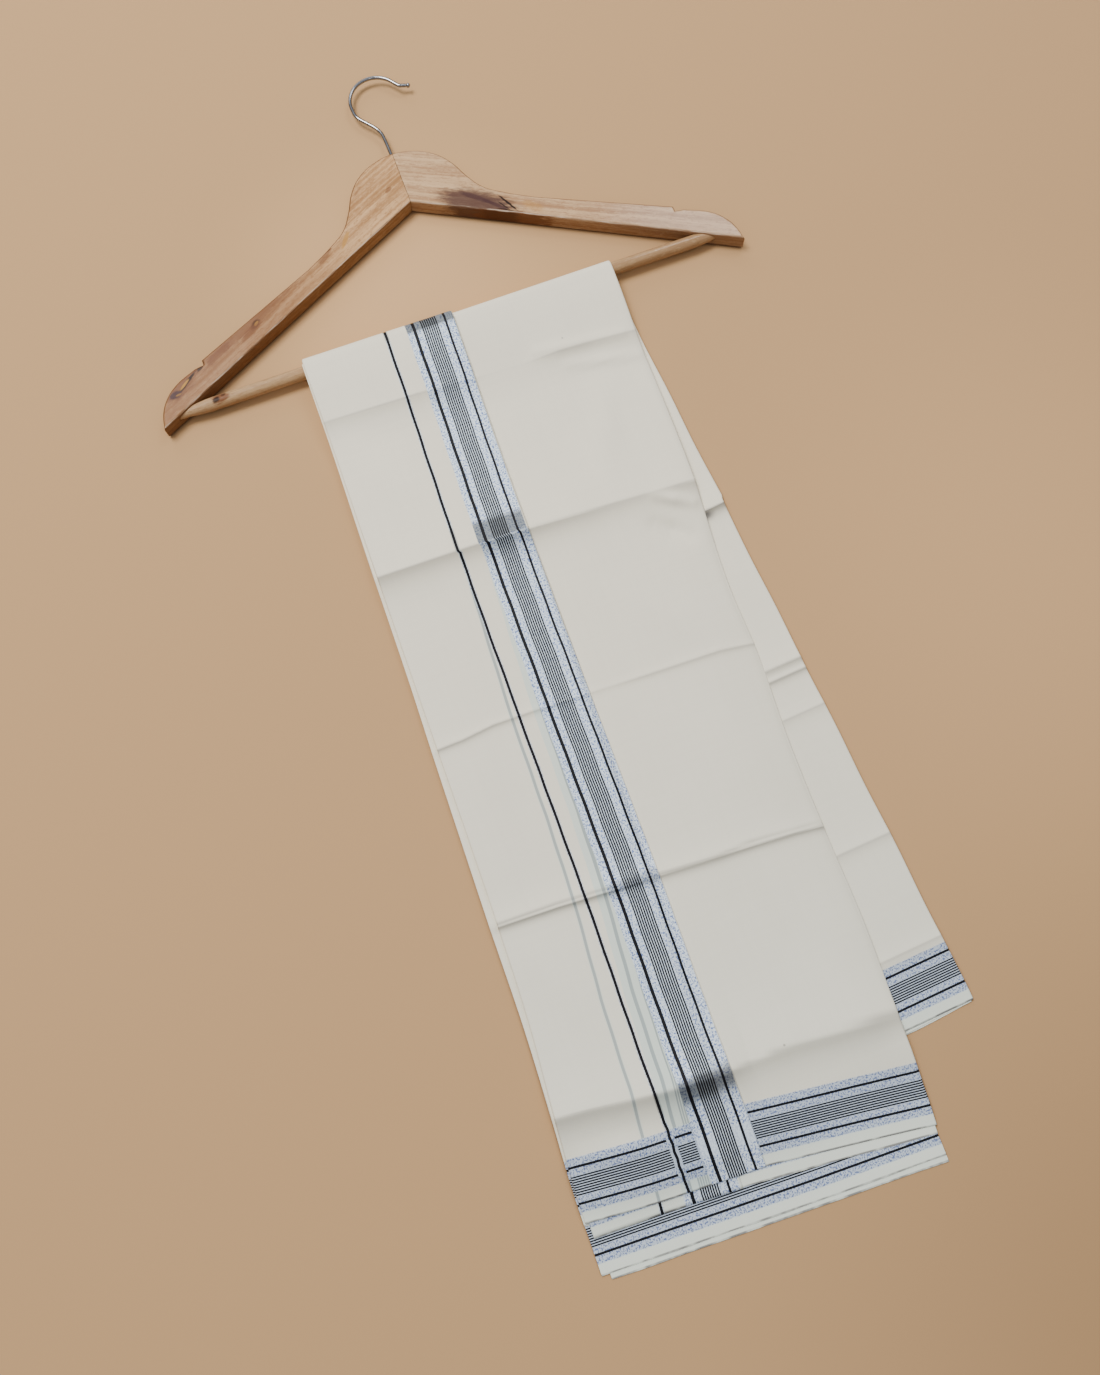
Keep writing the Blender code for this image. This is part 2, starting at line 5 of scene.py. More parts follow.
import bmesh
import bpy
import numpy as np
from mathutils import Matrix, Vector


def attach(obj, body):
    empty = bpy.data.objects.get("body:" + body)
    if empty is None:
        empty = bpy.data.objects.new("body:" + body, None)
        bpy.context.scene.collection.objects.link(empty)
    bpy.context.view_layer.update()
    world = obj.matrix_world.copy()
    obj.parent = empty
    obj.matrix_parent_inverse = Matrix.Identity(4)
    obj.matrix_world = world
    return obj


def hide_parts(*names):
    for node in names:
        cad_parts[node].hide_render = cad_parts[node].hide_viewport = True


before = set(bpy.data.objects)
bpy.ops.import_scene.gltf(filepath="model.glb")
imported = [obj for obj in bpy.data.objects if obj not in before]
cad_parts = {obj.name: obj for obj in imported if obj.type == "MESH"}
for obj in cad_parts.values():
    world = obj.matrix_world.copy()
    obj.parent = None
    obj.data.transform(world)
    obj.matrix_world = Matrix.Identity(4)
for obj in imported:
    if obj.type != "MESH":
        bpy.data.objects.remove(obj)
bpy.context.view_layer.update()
print("frame loaded:", ", ".join(sorted(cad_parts)))

# Where things lie.
layout = {
    "barY": 0.21545,          # the bar's axis, from the middle of the part
    "barHeight": 0.0074,
    "barSkew": 0.0088,        # the bar isn't quite square to the hanger
    "barLevelAt": -0.1550,
    "innerRadius": 0.0051,    # the innermost cloth round the bar
    "landing": 0.0750,        # the front comes down from the bar over this much
    "overBack": 0.0032,       # underside of the front where it lies on the back drop
    "offSide": (-0.060, 0.057),      # the front steps down off the back drop's left side: from, over
    "offHem": (0.004, 0.036),        # and off its hem
    "skewFades": 0.060,       # the bar's skew is gone from the cloth this far down
    "wrapSlack": 0.0014,
    "backTurn": math.radians(3.7),
    "backLeft": -0.1165,
    "backRight": 0.1213,
    "backLength": 0.5797,
}

# The front from the bar down. Each row: down at the left edge, down at the right edge, then across
# of the left fold, the right fold, the top leaf's cut end, the second leaf's, the inner leaves' fold.
panelRows = np.array((
    (0.000, 0.000, -0.1160, 0.1230, -0.0011, -0.0030, -0.1170),
    (0.040, 0.042, -0.1160, 0.1226, -0.0017, -0.0035, -0.1172),
    (0.168, 0.181, -0.1165, 0.1200, -0.0046, -0.0060, -0.1188),
    (0.200, 0.212, -0.1165, 0.1172, -0.0045, -0.0070, -0.1190),
    (0.250, 0.260, -0.1165, 0.1142, -0.0047, -0.0085, -0.1195),
    (0.297, 0.305, -0.1165, 0.1146, -0.0049, -0.0100, -0.1205),
    (0.360, 0.374, -0.1165, 0.1110, -0.0048, -0.0120, -0.1215),
    (0.418, 0.435, -0.1170, 0.1102, -0.0049, -0.0140, -0.1223),
    (0.490, 0.506, -0.1190, 0.1105, -0.0060, -0.0180, -0.1228),
    (0.543, 0.570, -0.1230, 0.1075, -0.0066, -0.0210, -0.1248),
    (0.590, 0.612, -0.1258, 0.1058, -0.0071, -0.0245, -0.1272),
    (0.620, 0.640, -0.1265, 0.1036, -0.0073, -0.0262, -0.1275),
))
leftFold, rightFold, topCut, secondCut, innerFold = range(2, 7)      # the columns

# Hem lines: (across, down) points.
hems = {
    "top": ((-0.127, 0.6103), (-0.0756, 0.6147), (-0.039, 0.6166), (-0.006, 0.6183)),
    "second": ((-0.127, 0.6208), (-0.080, 0.6220), (-0.026, 0.6255)),
    "third": ((-0.127, 0.6080), (-0.006, 0.6183), (0.063, 0.6272), (0.104, 0.6328)),
    "upper": ((-0.127, 0.6120), (-0.026, 0.6250), (0.006, 0.6279), (0.104, 0.6380)),
    "middle": ((-0.1273, 0.6426), (0.020, 0.6490), (0.103, 0.6516)),
    "lower": ((-0.1219, 0.6467), (0.010, 0.6518), (0.102, 0.6556)),
}

# Pressed creases across the front. Each: points (across, down, strength), height, length of the
# slope below it, length of the slow rise above it, roundness of its top.
frontCreases = (
    (((-0.116, 0.0450, 0.8), (-0.047, 0.0465, 1.0), (-0.020, 0.0475, 0.6), (0.007, 0.0480, 0.1),
      (0.035, 0.0490, 0.1), (0.063, 0.0485, 1.0), (0.090, 0.0495, 0.7), (0.123, 0.0515, 0.8)),
     0.00120, 0.0070, 0.030, 0.0008),
    (((-0.117, 0.1682, 1.0), (-0.047, 0.1688, 1.0), (0.000, 0.1700, 1.0), (0.035, 0.1715, 0.85),
      (0.063, 0.1718, 0.75), (0.090, 0.1735, 0.6), (0.108, 0.1745, 0.8), (0.121, 0.1760, 0.8)),
     0.00300, 0.0090, 0.035, 0.0005),
    (((-0.117, 0.2970, 1.0), (-0.098, 0.2965, 1.0), (-0.075, 0.2937, 0.9), (-0.047, 0.2940, 0.7),
      (0.007, 0.2955, 0.3), (0.035, 0.2965, 0.6), (0.090, 0.2978, 0.7), (0.116, 0.3010, 0.6)),
     0.00075, 0.0018, 0.0030, 0.0004),
    (((-0.118, 0.4190, 1.0), (-0.075, 0.4198, 1.0), (-0.047, 0.4215, 0.9), (0.007, 0.4260, 1.0),
      (0.035, 0.4275, 1.0), (0.063, 0.4262, 0.7), (0.090, 0.4280, 0.6), (0.110, 0.4312, 0.5)),
     0.00125, 0.0030, 0.0070, 0.0004),
    (((-0.118, 0.4216, 0.8), (-0.075, 0.4229, 1.0), (-0.047, 0.4246, 1.0), (0.007, 0.4278, 0.4),
      (0.035, 0.4290, 0.5), (0.063, 0.4300, 1.0), (0.090, 0.4316, 1.0), (0.110, 0.4338, 0.8)),
     0.00080, 0.0018, 0.0018, 0.0004),
    (((-0.125, 0.5450, 1.0), (-0.100, 0.5468, 1.0), (-0.075, 0.5505, 1.0), (-0.047, 0.5538, 1.1),
      (-0.010, 0.5560, 1.0), (0.007, 0.5560, 0.7), (0.035, 0.5550, 0.8), (0.063, 0.5575, 0.85),
      (0.090, 0.5590, 0.9), (0.108, 0.5600, 0.8)),
     0.00400, 0.0120, 0.026, 0.0012),
)
backCreases = (
    (((-0.116, 0.2080, 0.4), (0.090, 0.2062, 0.6), (0.104, 0.2060, 1.0), (0.121, 0.2050, 1.0)),
     0.00230, 0.0034, 0.014, 0.0004),
    (((-0.116, 0.3290, 0.5), (0.080, 0.3290, 0.8), (0.121, 0.3290, 1.0)), 0.00160, 0.0045, 0.012, 0.0004),
    (((-0.116, 0.3380, 1.0), (0.121, 0.3370, 1.0)), 0.00070, 0.0018, 0.003, 0.0004),
    (((-0.116, 0.3660, 1.0), (0.121, 0.3650, 1.0)), 0.00055, 0.0040, 0.008, 0.0006),
    (((-0.116, 0.4610, 1.0), (0.121, 0.4620, 1.0)), 0.00060, 0.0040, 0.008, 0.0006),
    (((-0.116, 0.5360, 1.0), (0.121, 0.5355, 1.0)), 0.00060, 0.0050, 0.006, 0.0010),
)
# width of the painted shade line along each crease
foldShadeWidth = 0.0008
# The right edge rolls down between these places.
edgeRoll = {"width": 0.030, "depth": 0.0024, "from": 0.190, "full": 0.240, "to": 0.560, "end": 0.030}
uneven = {"front": 0.00016, "back": 0.00010}

# Soft ridges (+) and troughs (-) of the front, each from one point to another (across, down),
# then its half width and its height.
frontWaves = (
    (-0.100, 0.075, -0.050, 0.140, 0.016, 0.00030),
    (-0.070, 0.300, -0.080, 0.400, 0.014, -0.00022),
    (0.048, 0.044, 0.112, 0.050, 0.0040, 0.00026),
    (0.066, 0.060, 0.119, 0.069, 0.0040, 0.00030),
    (0.030, 0.070, 0.060, 0.150, 0.018, -0.00025),
    (0.085, 0.085, 0.060, 0.150, 0.012, 0.00030),
    (0.090, 0.177, 0.112, 0.190, 0.0045, 0.00050),
    (0.082, 0.197, 0.100, 0.212, 0.0065, -0.00055),
    (0.050, 0.240, 0.090, 0.290, 0.015, 0.00025),
    (0.020, 0.330, 0.030, 0.400, 0.016, -0.00020),
    (0.070, 0.350, 0.085, 0.410, 0.014, 0.00025),
    (-0.100, 0.450, -0.060, 0.520, 0.015, 0.00022),
    (0.040, 0.460, 0.080, 0.530, 0.016, -0.00025),
    (-0.110, 0.575, -0.060, 0.582, 0.008, 0.00040),
)
waveLift = 2.0      # scales all those heights


def smooth(t):
    t = np.clip(t, 0.0, 1.0)
    return t * t * (3 - 2 * t)


# A smooth curve through the values at their places.
def eased(t, places, values):
    slopes = np.gradient(values, places)
    k = np.clip(np.searchsorted(places, t) - 1, 0, len(places) - 2)
    wide = places[k + 1] - places[k]
    u = np.clip((t - places[k]) / wide, 0.0, 1.0)
    start, end = values[k], values[k + 1]
    return (start + (end - start) * u * u * (3 - 2 * u)
            + wide * u * (1 - u) * (slopes[k] * (1 - u) - slopes[k + 1] * u))


# Across of one of the panel's edges, s being the down at the left edge.
def edgeAt(column, s):
    return eased(s, panelRows[:, 0], panelRows[:, column])


def hemAt(hem, x):
    points = np.array(hems[hem])
    return np.interp(x, points[:, 0], points[:, 1])


def barLine(x):
    return layout["barSkew"] * (x - layout["barLevelAt"])


# Slow unevenness, about -1 to 1.
def ripple(x, y, seed):
    return (np.sin(x * 61 + 1.3 * seed) * np.cos(y * 43 + 0.7 * seed)
            + 0.6 * np.sin(x * 27 - y * 88 + 2.1 * seed)
            + 0.4 * np.cos(x * 139 + y * 33 + seed)) / 2


# How far below a crease, and how strong the crease is there.
def fromCrease(x, down, points):
    points = np.array(points)
    return down - np.interp(x, points[:, 0], points[:, 1]), np.interp(x, points[:, 0], points[:, 2])


def creaseShape(x, down, creases):
    height = np.zeros_like(x)
    for points, rise, below, above, roundness in creases:
        away, strength = fromCrease(x, down, points)
        far = np.sqrt(away ** 2 + roundness ** 2) - roundness
        height = height + rise * strength * np.exp(-far / np.where(away > 0, below, above))
    return height


# Painted shade along the creases themselves, 0 to 1.
def creaseWear(x, down, creases):
    foldShade = np.zeros_like(x)
    for points, *_ in creases:
        away, strength = fromCrease(x, down, points)
        foldShade = np.maximum(foldShade, strength * np.exp(-(away / foldShadeWidth) ** 2))
    return np.clip(foldShade, 0.0, 1.0)


def waveShape(x, down, waves):
    height = np.zeros_like(x)
    for x0, y0, x1, y1, halfWidth, rise in waves:
        dx, dy = x1 - x0, y1 - y0
        t = ((x - x0) * dx + (down - y0) * dy) / (dx * dx + dy * dy)
        near = np.clip(t, 0.0, 1.0)
        away = np.hypot(x - x0 - near * dx, down - y0 - near * dy)
        height = height + rise * np.exp(-(away / halfWidth) ** 2) * (1 - 0.5 * np.abs(2 * near - 1))
    return waveLift * height


# Slopes of the creases and waves, across and downwards.
def slopesOf(x, down, creases, waves=(), reach=0.0004):
    def shape(a, b):
        return creaseShape(a, b, creases) + waveShape(a, b, waves)

    return {"slant": (shape(x + reach, down) - shape(x - reach, down)) / (2 * reach),
            "slope": (shape(x, down + reach) - shape(x, down - reach)) / (2 * reach)}


# The front's lie.
joinAt, hemPlace = 0.590, 0.612      # below joinAt a leaf's rows turn to follow its own hem
wrapLength = 0.0267                  # length of cloth round the bar, counted as negative down
creasesFrom, wavesFrom = 0.020, 0.030      # the creases and the waves reach their full height this far down


def frontDown(x, s, hem):
    left, right = edgeAt(leftFold, s), edgeAt(rightFold, s)
    share = (x - left) / (right - left)
    along = np.minimum(s, joinAt)
    rightDown = np.interp(along, panelRows[:, 0], panelRows[:, 1])
    shared = along + share * (rightDown - along)
    t = np.clip((s - joinAt) / (hemPlace - joinAt), 0.0, None)
    return shared + t * (hemAt(hem, x) - shared)


# How much of the bar's skew a place still follows.
def skewLeft(x, down):
    return barLine(x) * (1 - smooth(down / layout["skewFades"]))


# Height of what carries the front: the bar, then the back drop, then the surface.
def carrier(x, down):
    slant = math.tan(layout["backTurn"])
    backLeft = layout["backLeft"] / math.cos(layout["backTurn"]) + down * slant
    backHem = layout["backLength"] / math.cos(layout["backTurn"]) - x * slant
    (besideFrom, besideOver), (beyondFrom, beyondOver) = layout["offSide"], layout["offHem"]
    beside = smooth((x - backLeft - besideFrom) / besideOver)
    beyond = smooth((down - backHem - beyondFrom) / beyondOver)
    barTop = layout["barHeight"] + layout["innerRadius"]
    landed = smooth(down / layout["landing"])
    return barTop * (1 - landed) + layout["overBack"] * beside * (1 - beyond) * landed


# Point of the front at height h above what carries it; stack is the whole pile's height there.
def placeFront(x, s, h, hem, stack):
    down = frontDown(x, s, hem)
    y = skewLeft(x, down) - down
    z = carrier(x, down) + h
    share = np.clip(1 + s / wrapLength, 0.0, 1.0)
    angle = math.pi * (share - 0.5)
    under = layout["barHeight"] - layout["innerRadius"]
    slack = np.minimum(barLine(x), layout["wrapSlack"]) * np.sin(math.pi * share)
    thick = under + (stack - under) * smooth(share) - slack
    radius = layout["innerRadius"] + h / stack * thick
    wrapped = s < 0
    y = np.where(wrapped, barLine(x) + radius * np.cos(angle), y)
    z = np.where(wrapped, layout["barHeight"] + radius * np.sin(angle), z)
    return x, y + layout["barY"], z


# Creases, soft waves and unevenness, the same for all the leaves at one place.
def frontRelief(x, s, hem):
    down = frontDown(x, s, hem)
    shape = creaseShape(x, down, frontCreases) * smooth(s / creasesFrom)
    e = edgeRoll
    roll = np.clip(1 - (edgeAt(rightFold, s) - x) / e["width"], 0.0, 1.0) ** 2
    roll = roll * smooth((down - e["from"]) / (e["full"] - e["from"]))
    roll = roll * (1 - smooth((down - e["to"]) / e["end"]))
    soft = waveShape(x, down, frontWaves) + uneven["front"] * ripple(x, down, 3)
    return shape - e["depth"] * roll + smooth(s / wavesFrom) * soft


# Heights above what carries the pile: each leaf's upper face, how far it sinks at its hem and over
# what length, and the underside of its fold.
leafTop = {"top": 0.0054, "second": 0.0041, "third": 0.0028, "inner": 0.0015}
hemSink = {"top": (0.0021, 0.0165), "second": (0.00255, 0.0238), "third": (0.0008, 0.014)}
foldUnder = {"top": 0.0019, "third": 0.0002, "back": 0.0001}


def stackHeight(x, s):
    cut = edgeAt(secondCut, s)
    drop = leafTop["top"] - leafTop["third"]
    return leafTop["top"] - drop * smooth((x - cut) / (edgeAt(topCut, s) - cut + 0.002))


def levelAt(leaf, x, down):
    depth, run = hemSink[leaf]
    return leafTop[leaf] - depth * smooth((down - hemAt(leaf, x) + run) / run)


# The top leaf lies on the second one, and past that one's cut end on the third.
def topLevel(x, down, s):
    past = smooth((x - edgeAt(secondCut, s) - 0.0003) / 0.0050)
    return levelAt("top", x, down) * (1 - past) + (levelAt("third", x, down) + 0.00055) * past


# The border's place on each leaf, in mm.
blackLine = np.array((   # down, across of the top leaf's single black line
    (-0.030, -52.5), (0.000, -52.7), (0.050, -53.4), (0.090, -54.7), (0.120, -55.5), (0.150, -56.4),
    (0.1690, -56.7), (0.1705, -55.7), (0.190, -56.0), (0.250, -56.35), (0.270, -56.1), (0.298, -56.5),
    (0.310, -56.35), (0.390, -56.35), (0.427, -56.5), (0.450, -56.8), (0.480, -57.4), (0.520, -58.1),
    (0.575, -58.4), (0.590, -58.7), (0.640, -59.0)))
puckers = np.array((     # down, how far the single line is drawn aside where it crosses the selvedge border
    (0.566, 0.0), (0.571, -0.25), (0.5755, 0.30), (0.580, -0.35), (0.5845, 0.25), (0.589, -0.35),
    (0.5935, 0.25), (0.598, -0.30), (0.603, 0.20), (0.608, -0.10), (0.612, 0.0)))
secondLag = np.array((   # down, how far the second leaf's line lies left of it
    (0.000, 0.0), (0.180, 0.0), (0.290, 5.0), (0.365, 6.0), (0.425, 8.0), (0.487, 12.0), (0.545, 13.5),
    (0.620, 20.0)))
nowhere = -500.0         # in place of a distance, where a leaf has no such border
# Painted shade on the metal thread at each crease: from, to, softness of the start, of the end, strength.
paintedShadeBands = (
    (0.1535, 0.1694, 0.0020, 0.0012, 0.85), (0.1694, 0.1730, 0.0010, 0.0140, 0.30),
    (0.4210, 0.4270, 0.0025, 0.0025, 0.45), (0.5515, 0.5630, 0.0025, 0.0090, 0.90),
)
# painted shade on the metal thread where it bends over the bar
paintedBendShade = (0.92, 0.0022, 0.0012)      # over the bar: strength, down to here, fading over this


def lineAway(x, down):
    away = x * 1000 - np.interp(down, blackLine[:, 0], blackLine[:, 1]) - 0.12 * np.sin(down * 173 + 1.0)
    aside = np.interp(down, puckers[:, 0], puckers[:, 1])
    return away - aside * (1 - smooth((np.abs(away) - 1.5) / 4.0))


def secondBehind(down):
    return np.interp(down, secondLag[:, 0], secondLag[:, 1])


# Painted shade: how dark the metal thread is painted at the pressed creases and over the bar.
def paintedCreaseShade(s, x):
    down = frontDown(x, s, "third")
    strength, end, fading = paintedBendShade
    shade = strength * np.exp(-np.maximum(down - end, 0.0) / fading)
    for top, bottom, soft, fade, strength in paintedShadeBands:
        before = 1 - smooth((down - bottom) / fade + 0.5 * soft / fade)
        shade = shade + strength * (smooth((down - top) / soft + 0.5) * before)
    return np.clip(shade, 0.0, 1.0)


# What the cloth's finish reads at each point of a piece.
def clothFields(x, down, hemAway, shade, **more):
    return {"lineAway": 0 * x + nowhere, "underAway": 0 * x + nowhere, "hemAway": hemAway,
            "paintedCreaseShade": shade, "down": down, **more}


def frontFields(x, s, down, hem, paintedEdgeShade=0.0, **more):
    return clothFields(x, down, (hemAt(hem, x) - down) * 1000, paintedCreaseShade(s, x),
                       creaseWear=creaseWear(x, down, frontCreases) + paintedEdgeShade,
                       **slopesOf(x, down, frontCreases, frontWaves), **more)


# Meshes.
def makeObject(name, mesh):
    item = bpy.data.objects.new(name, mesh)
    bpy.context.scene.collection.objects.link(item)
    return item


# The object with its modifiers applied, as a plain mesh.
def frozen(item, name):
    bpy.context.view_layer.update()
    shape = item.evaluated_get(bpy.context.evaluated_depsgraph_get())
    mesh = bpy.data.meshes.new_from_object(shape)
    bpy.data.objects.remove(item)
    mesh.name = name
    return makeObject(name, mesh)


# A mesh from rows of points: row 0 is the lowest hem, columns run left to right, faces look up.
# A closed one has rows that run round the piece, and a cap on its first and last row.
def gridMesh(name, points, fields, uv, closed=False):
    rows, columns = points[0].shape
    verts = np.stack(points, axis=-1).reshape(-1, 3)
    faces = []
    for j in range(rows - 1):
        base = j * columns
        for i in range(columns if closed else columns - 1):
            k = (i + 1) % columns
            faces.append((base + i, base + k, base + columns + k, base + columns + i))
    if closed:
        faces.append(tuple(range(columns - 1, -1, -1)))
        faces.append(tuple(range((rows - 1) * columns, rows * columns)))
    mesh = bpy.data.meshes.new(name)
    mesh.from_pydata(verts.tolist(), [], faces)
    mesh.polygons.foreach_set("use_smooth", [True] * len(mesh.polygons))
    for key, values in fields.items():
        layer = mesh.attributes.new(key, "FLOAT", "POINT")
        layer.data.foreach_set("value", np.broadcast_to(values, (rows, columns)).astype(np.float32).ravel())
    layer = mesh.uv_layers.new(name="clothMap")
    u, v = (np.broadcast_to(c, (rows, columns)).ravel() for c in uv)
    index = np.zeros(len(mesh.loops), np.int32)
    mesh.loops.foreach_get("vertex_index", index)
    layer.data.foreach_set("uv", np.stack((u[index], v[index]), axis=-1).astype(np.float32).ravel())
    return mesh


# A leaf's wall, how far apart its points are, and the rounding of a pressed fold. Away from the
# creases the rows are rowStep apart, and next to them fineRow.
leafLook = {
    "wall": 0.00045, "step": 0.0026, "edgeStep": 0.0006, "rowStep": 0.0040, "fineRow": 0.0006,
    "foldSteps": 7, "foldWide": 0.0011,
}
creaseMarks = [0.046, 0.169, 0.172, 0.295, 0.421, 0.424, 0.549, 0.554]


# One leaf of cloth: its upper face as a grid, and a wall below it.
def thinCloth(name, points, fields, uv):
    item = makeObject(name, gridMesh(name, points, fields, uv))
    solid = item.modifiers.new("wall", "SOLIDIFY")
    solid.thickness = leafLook["wall"]
    solid.offset = -1.0
    return frozen(item, name)


# Places from start to end: fine apart at the marks, coarse apart away from them.
def rowPlaces(start, end, marks, fine, coarse, reach=0.012):
    places = [start]
    while places[-1] < end - fine:
        near = min(abs(places[-1] + fine - m) for m in marks)
        step = fine + (coarse - fine) * min(max((near - 0.003) / reach, 0.0), 1.0)
        places.append(min(places[-1] + step, end))
    places[-1] = end
    return np.array(places)


# 0 to 1 over a width, closer at the ends.
def unevenSpread(width, fine):
    return rowPlaces(0.0, width, (0.0, width), fine, leafLook["step"], 0.008) / width


# Across of every point between two edges.
def columnsBetween(starts, ends, spread):
    return starts[:, None] + (ends - starts)[:, None] * spread[None, :]


# Round a pressed fold, from underneath to the top: how far in from it, and the share of its height.
def foldEdge():
    angles = np.radians(np.linspace(-90, 90, leafLook["foldSteps"]))
    return leafLook["foldWide"] * (1 - np.cos(angles)), (1 + np.sin(angles)) / 2


# Turns a leaf's edge columns under, and lets the relief fade out round them.
def roundFold(h, lift, under, atLeft):
    share = foldEdge()[1]
    fold = len(share)
    fade = np.linspace(0, 1, fold)
    if atLeft:
        edge, flat = np.s_[:, :fold], h[:, fold - 1:fold]
    else:
        edge, flat, share, fade = np.s_[:, -fold:], h[:, -fold:1 - fold], share[::-1], np.linspace(1, 0, fold)
    h[edge] = under + (flat - under) * share[None, :]
    lift[edge] *= fade[None, :]


# The top leaf, with the end border running down it.
def buildTopLeaf():
    s = rowPlaces(-wrapLength, hemPlace, [0.0, 0.575, 0.590, 0.603, hemPlace] + creaseMarks,
                  leafLook["fineRow"], leafLook["rowStep"])[::-1]
    left, cut = edgeAt(leftFold, s), edgeAt(topCut, s)
    spread = unevenSpread(0.116, leafLook["edgeStep"])[1:]
    x = np.concatenate((left[:, None] + foldEdge()[0][None, :],
                        columnsBetween(left + leafLook["foldWide"], cut, spread)), axis=1)
    s = np.broadcast_to(s[:, None], x.shape)
    down = frontDown(x, s, "top")
    h, lift = topLevel(x, down, s), frontRelief(x, s, "top")
    roundFold(h, lift, foldUnder["top"], atLeft=True)
    points = placeFront(x, s, h + lift, "top", np.maximum(stackHeight(x, s), h))
    away = lineAway(x, down)
    fields = frontFields(x, s, down, "top", lineAway=away, underAway=away + secondBehind(down))
    return thinCloth("dhotiTopLeaf", points, fields, (x, down))


def buildSecondLeaf():
    s = rowPlaces(0.0, hemPlace, [0.560, 0.600, hemPlace] + creaseMarks[1:], 0.0012, 0.0080)[::-1]
    x = columnsBetween(edgeAt(leftFold, s) + 2 * leafLook["foldWide"], edgeAt(secondCut, s),
                       unevenSpread(0.108, 0.0015))
    s = np.broadcast_to(s[:, None], x.shape)
    down = frontDown(x, s, "second")
    h = levelAt("second", x, down) + frontRelief(x, s, "second")
    points = placeFront(x, s, h, "second", stackHeight(x, s))
    fields = frontFields(x, s, down, "second", lineAway=lineAway(x, down) + secondBehind(down))
    return thinCloth("dhotiSecondLeaf", points, fields, (x, down))


# Painted shade along the right fold, where its edge rolls down.
foldEdgeShade = {"strength": 0.40, "width": 0.0035, "grows": 0.06, "to": 0.50, "fades": 0.06}


def buildThirdLeaf():
    s = rowPlaces(-wrapLength, hemPlace, [0.0, 0.590, hemPlace] + creaseMarks,
                  leafLook["fineRow"], leafLook["rowStep"])[::-1]
    start, right = edgeAt(leftFold, s) + 2 * leafLook["foldWide"], edgeAt(rightFold, s)
    spread = unevenSpread(0.236, leafLook["edgeStep"])
    x = np.concatenate((columnsBetween(start, right - leafLook["foldWide"], spread),
                        (right[:, None] - foldEdge()[0][None, ::-1])[:, 1:]), axis=1)
    s = np.broadcast_to(s[:, None], x.shape)
    down = frontDown(x, s, "third")
    h, lift = levelAt("third", x, down), frontRelief(x, s, "third")
    roundFold(h, lift, foldUnder["third"], atLeft=False)
    points = placeFront(x, s, h + lift, "third", np.maximum(stackHeight(x, s), h))
    paintedEdgeShade = foldEdgeShade["strength"] * np.exp(-((right[:, None] - x) / foldEdgeShade["width"]) ** 2)
    paintedEdgeShade = paintedEdgeShade * smooth(s / foldEdgeShade["grows"]) * (1 - smooth((s - foldEdgeShade["to"]) / foldEdgeShade["fades"]))
    return thinCloth("dhotiThirdLeaf", points, frontFields(x, s, down, "third", paintedEdgeShade), (x, down))


# Up a side where folded leaves lie on each other: how far in, and the share of the pile's height.
def ribbed(leaves, depth, steps=3):
    places = []
    for leaf in range(leaves):
        for k in range(steps):
            t = k / steps
            places.append((depth * (1 - math.sin(math.pi * t)) * (0.7 + 0.3 * ((leaf * 7) % 3) / 2),
                           (leaf + t) / leaves))
    return places + [(depth, 1.0)]


# One loop round a pile: along the bottom from the right, up the left side, over the top and down
# the right. Each place: which side it counts from, how far, and the share of the pile's height.
def pileLoop(pile):
    spread = np.linspace(0.0, 1.0, pile["columns"])
    left, right = ribbed(pile["leaves"], pile["leftRib"]), ribbed(pile["leaves"], pile["rightRib"])
    return ([("right", 0.0, 0.0)] + [("across", t, 0.0) for t in spread[::-pile["bottomStep"]]]
            + [("left", inward, share) for inward, share in left]
            + [("across", t, 1.0) for t in spread[1:-1]]
            + [("right", inward, share) for inward, share in reversed(right)])


def loopAcross(loop, left, right, inset=0.0008):
    return np.array([left + n if side == "left" else right - n if side == "right" else
                     left + inset + n * (right - left - 2 * inset) for side, n, _ in loop])


def closedPile(name, points, fields, uv):
    mesh = gridMesh(name, points, fields, uv, closed=True)
    bm = bmesh.new()
    bm.from_mesh(mesh)
    bmesh.ops.triangulate(bm, faces=[f for f in bm.faces if len(f.verts) > 4])
    bmesh.ops.recalc_face_normals(bm, faces=bm.faces[:])
    if bm.calc_volume(signed=True) < 0:      # the call above can leave a curled pile inside out
        bmesh.ops.reverse_faces(bm, faces=bm.faces[:])
    bm.to_mesh(mesh)
    bm.free()
    mesh.set_sharp_from_angle(angle=math.radians(30))
    return makeObject(name, mesh)


# The inner leaves, as one pile: ribbed where its folds and cut edges show, stepped at the hems.
innerPile = {
    "leaves": 3, "leftRib": 0.0006, "rightRib": 0.0005, "columns": 96, "bottomStep": 12, "bodyEnd": 0.606,
    "rightInset": 0.0016, "ledgeEdgesAt": 0.6170, "ledgeRightInset": 0.0012, "ledgeRelief": 0.25,
    "waver": 0.00022,
    # from the lowest hem up: hem line, how far past it, the pile's height there
    "ledges": (("lower", 0.0, 0.0005), ("middle", 0.00012, 0.0005), ("middle", 0.0, 0.0010),
               ("upper", 0.00012, 0.0010), ("upper", 0.0, 0.0015)),
    # for each height: whose border shows there, and how far in the left edge lies
    "ledgeEdge": {0.0005: ("lower", 0.0055), 0.0010: ("middle", 0.0002), 0.0015: ("upper", 0.0)},
    "waverTurn": {"lower": 4.5, "middle": 9.0, "upper": 13.5},
}


# A ledge's distance down, wavering a little.
def ledgeDown(ledge, x):
    hem, past, _ = ledge
    return hemAt(hem, x) + past + innerPile["waver"] * np.sin(x * 95 + innerPile["waverTurn"][hem])


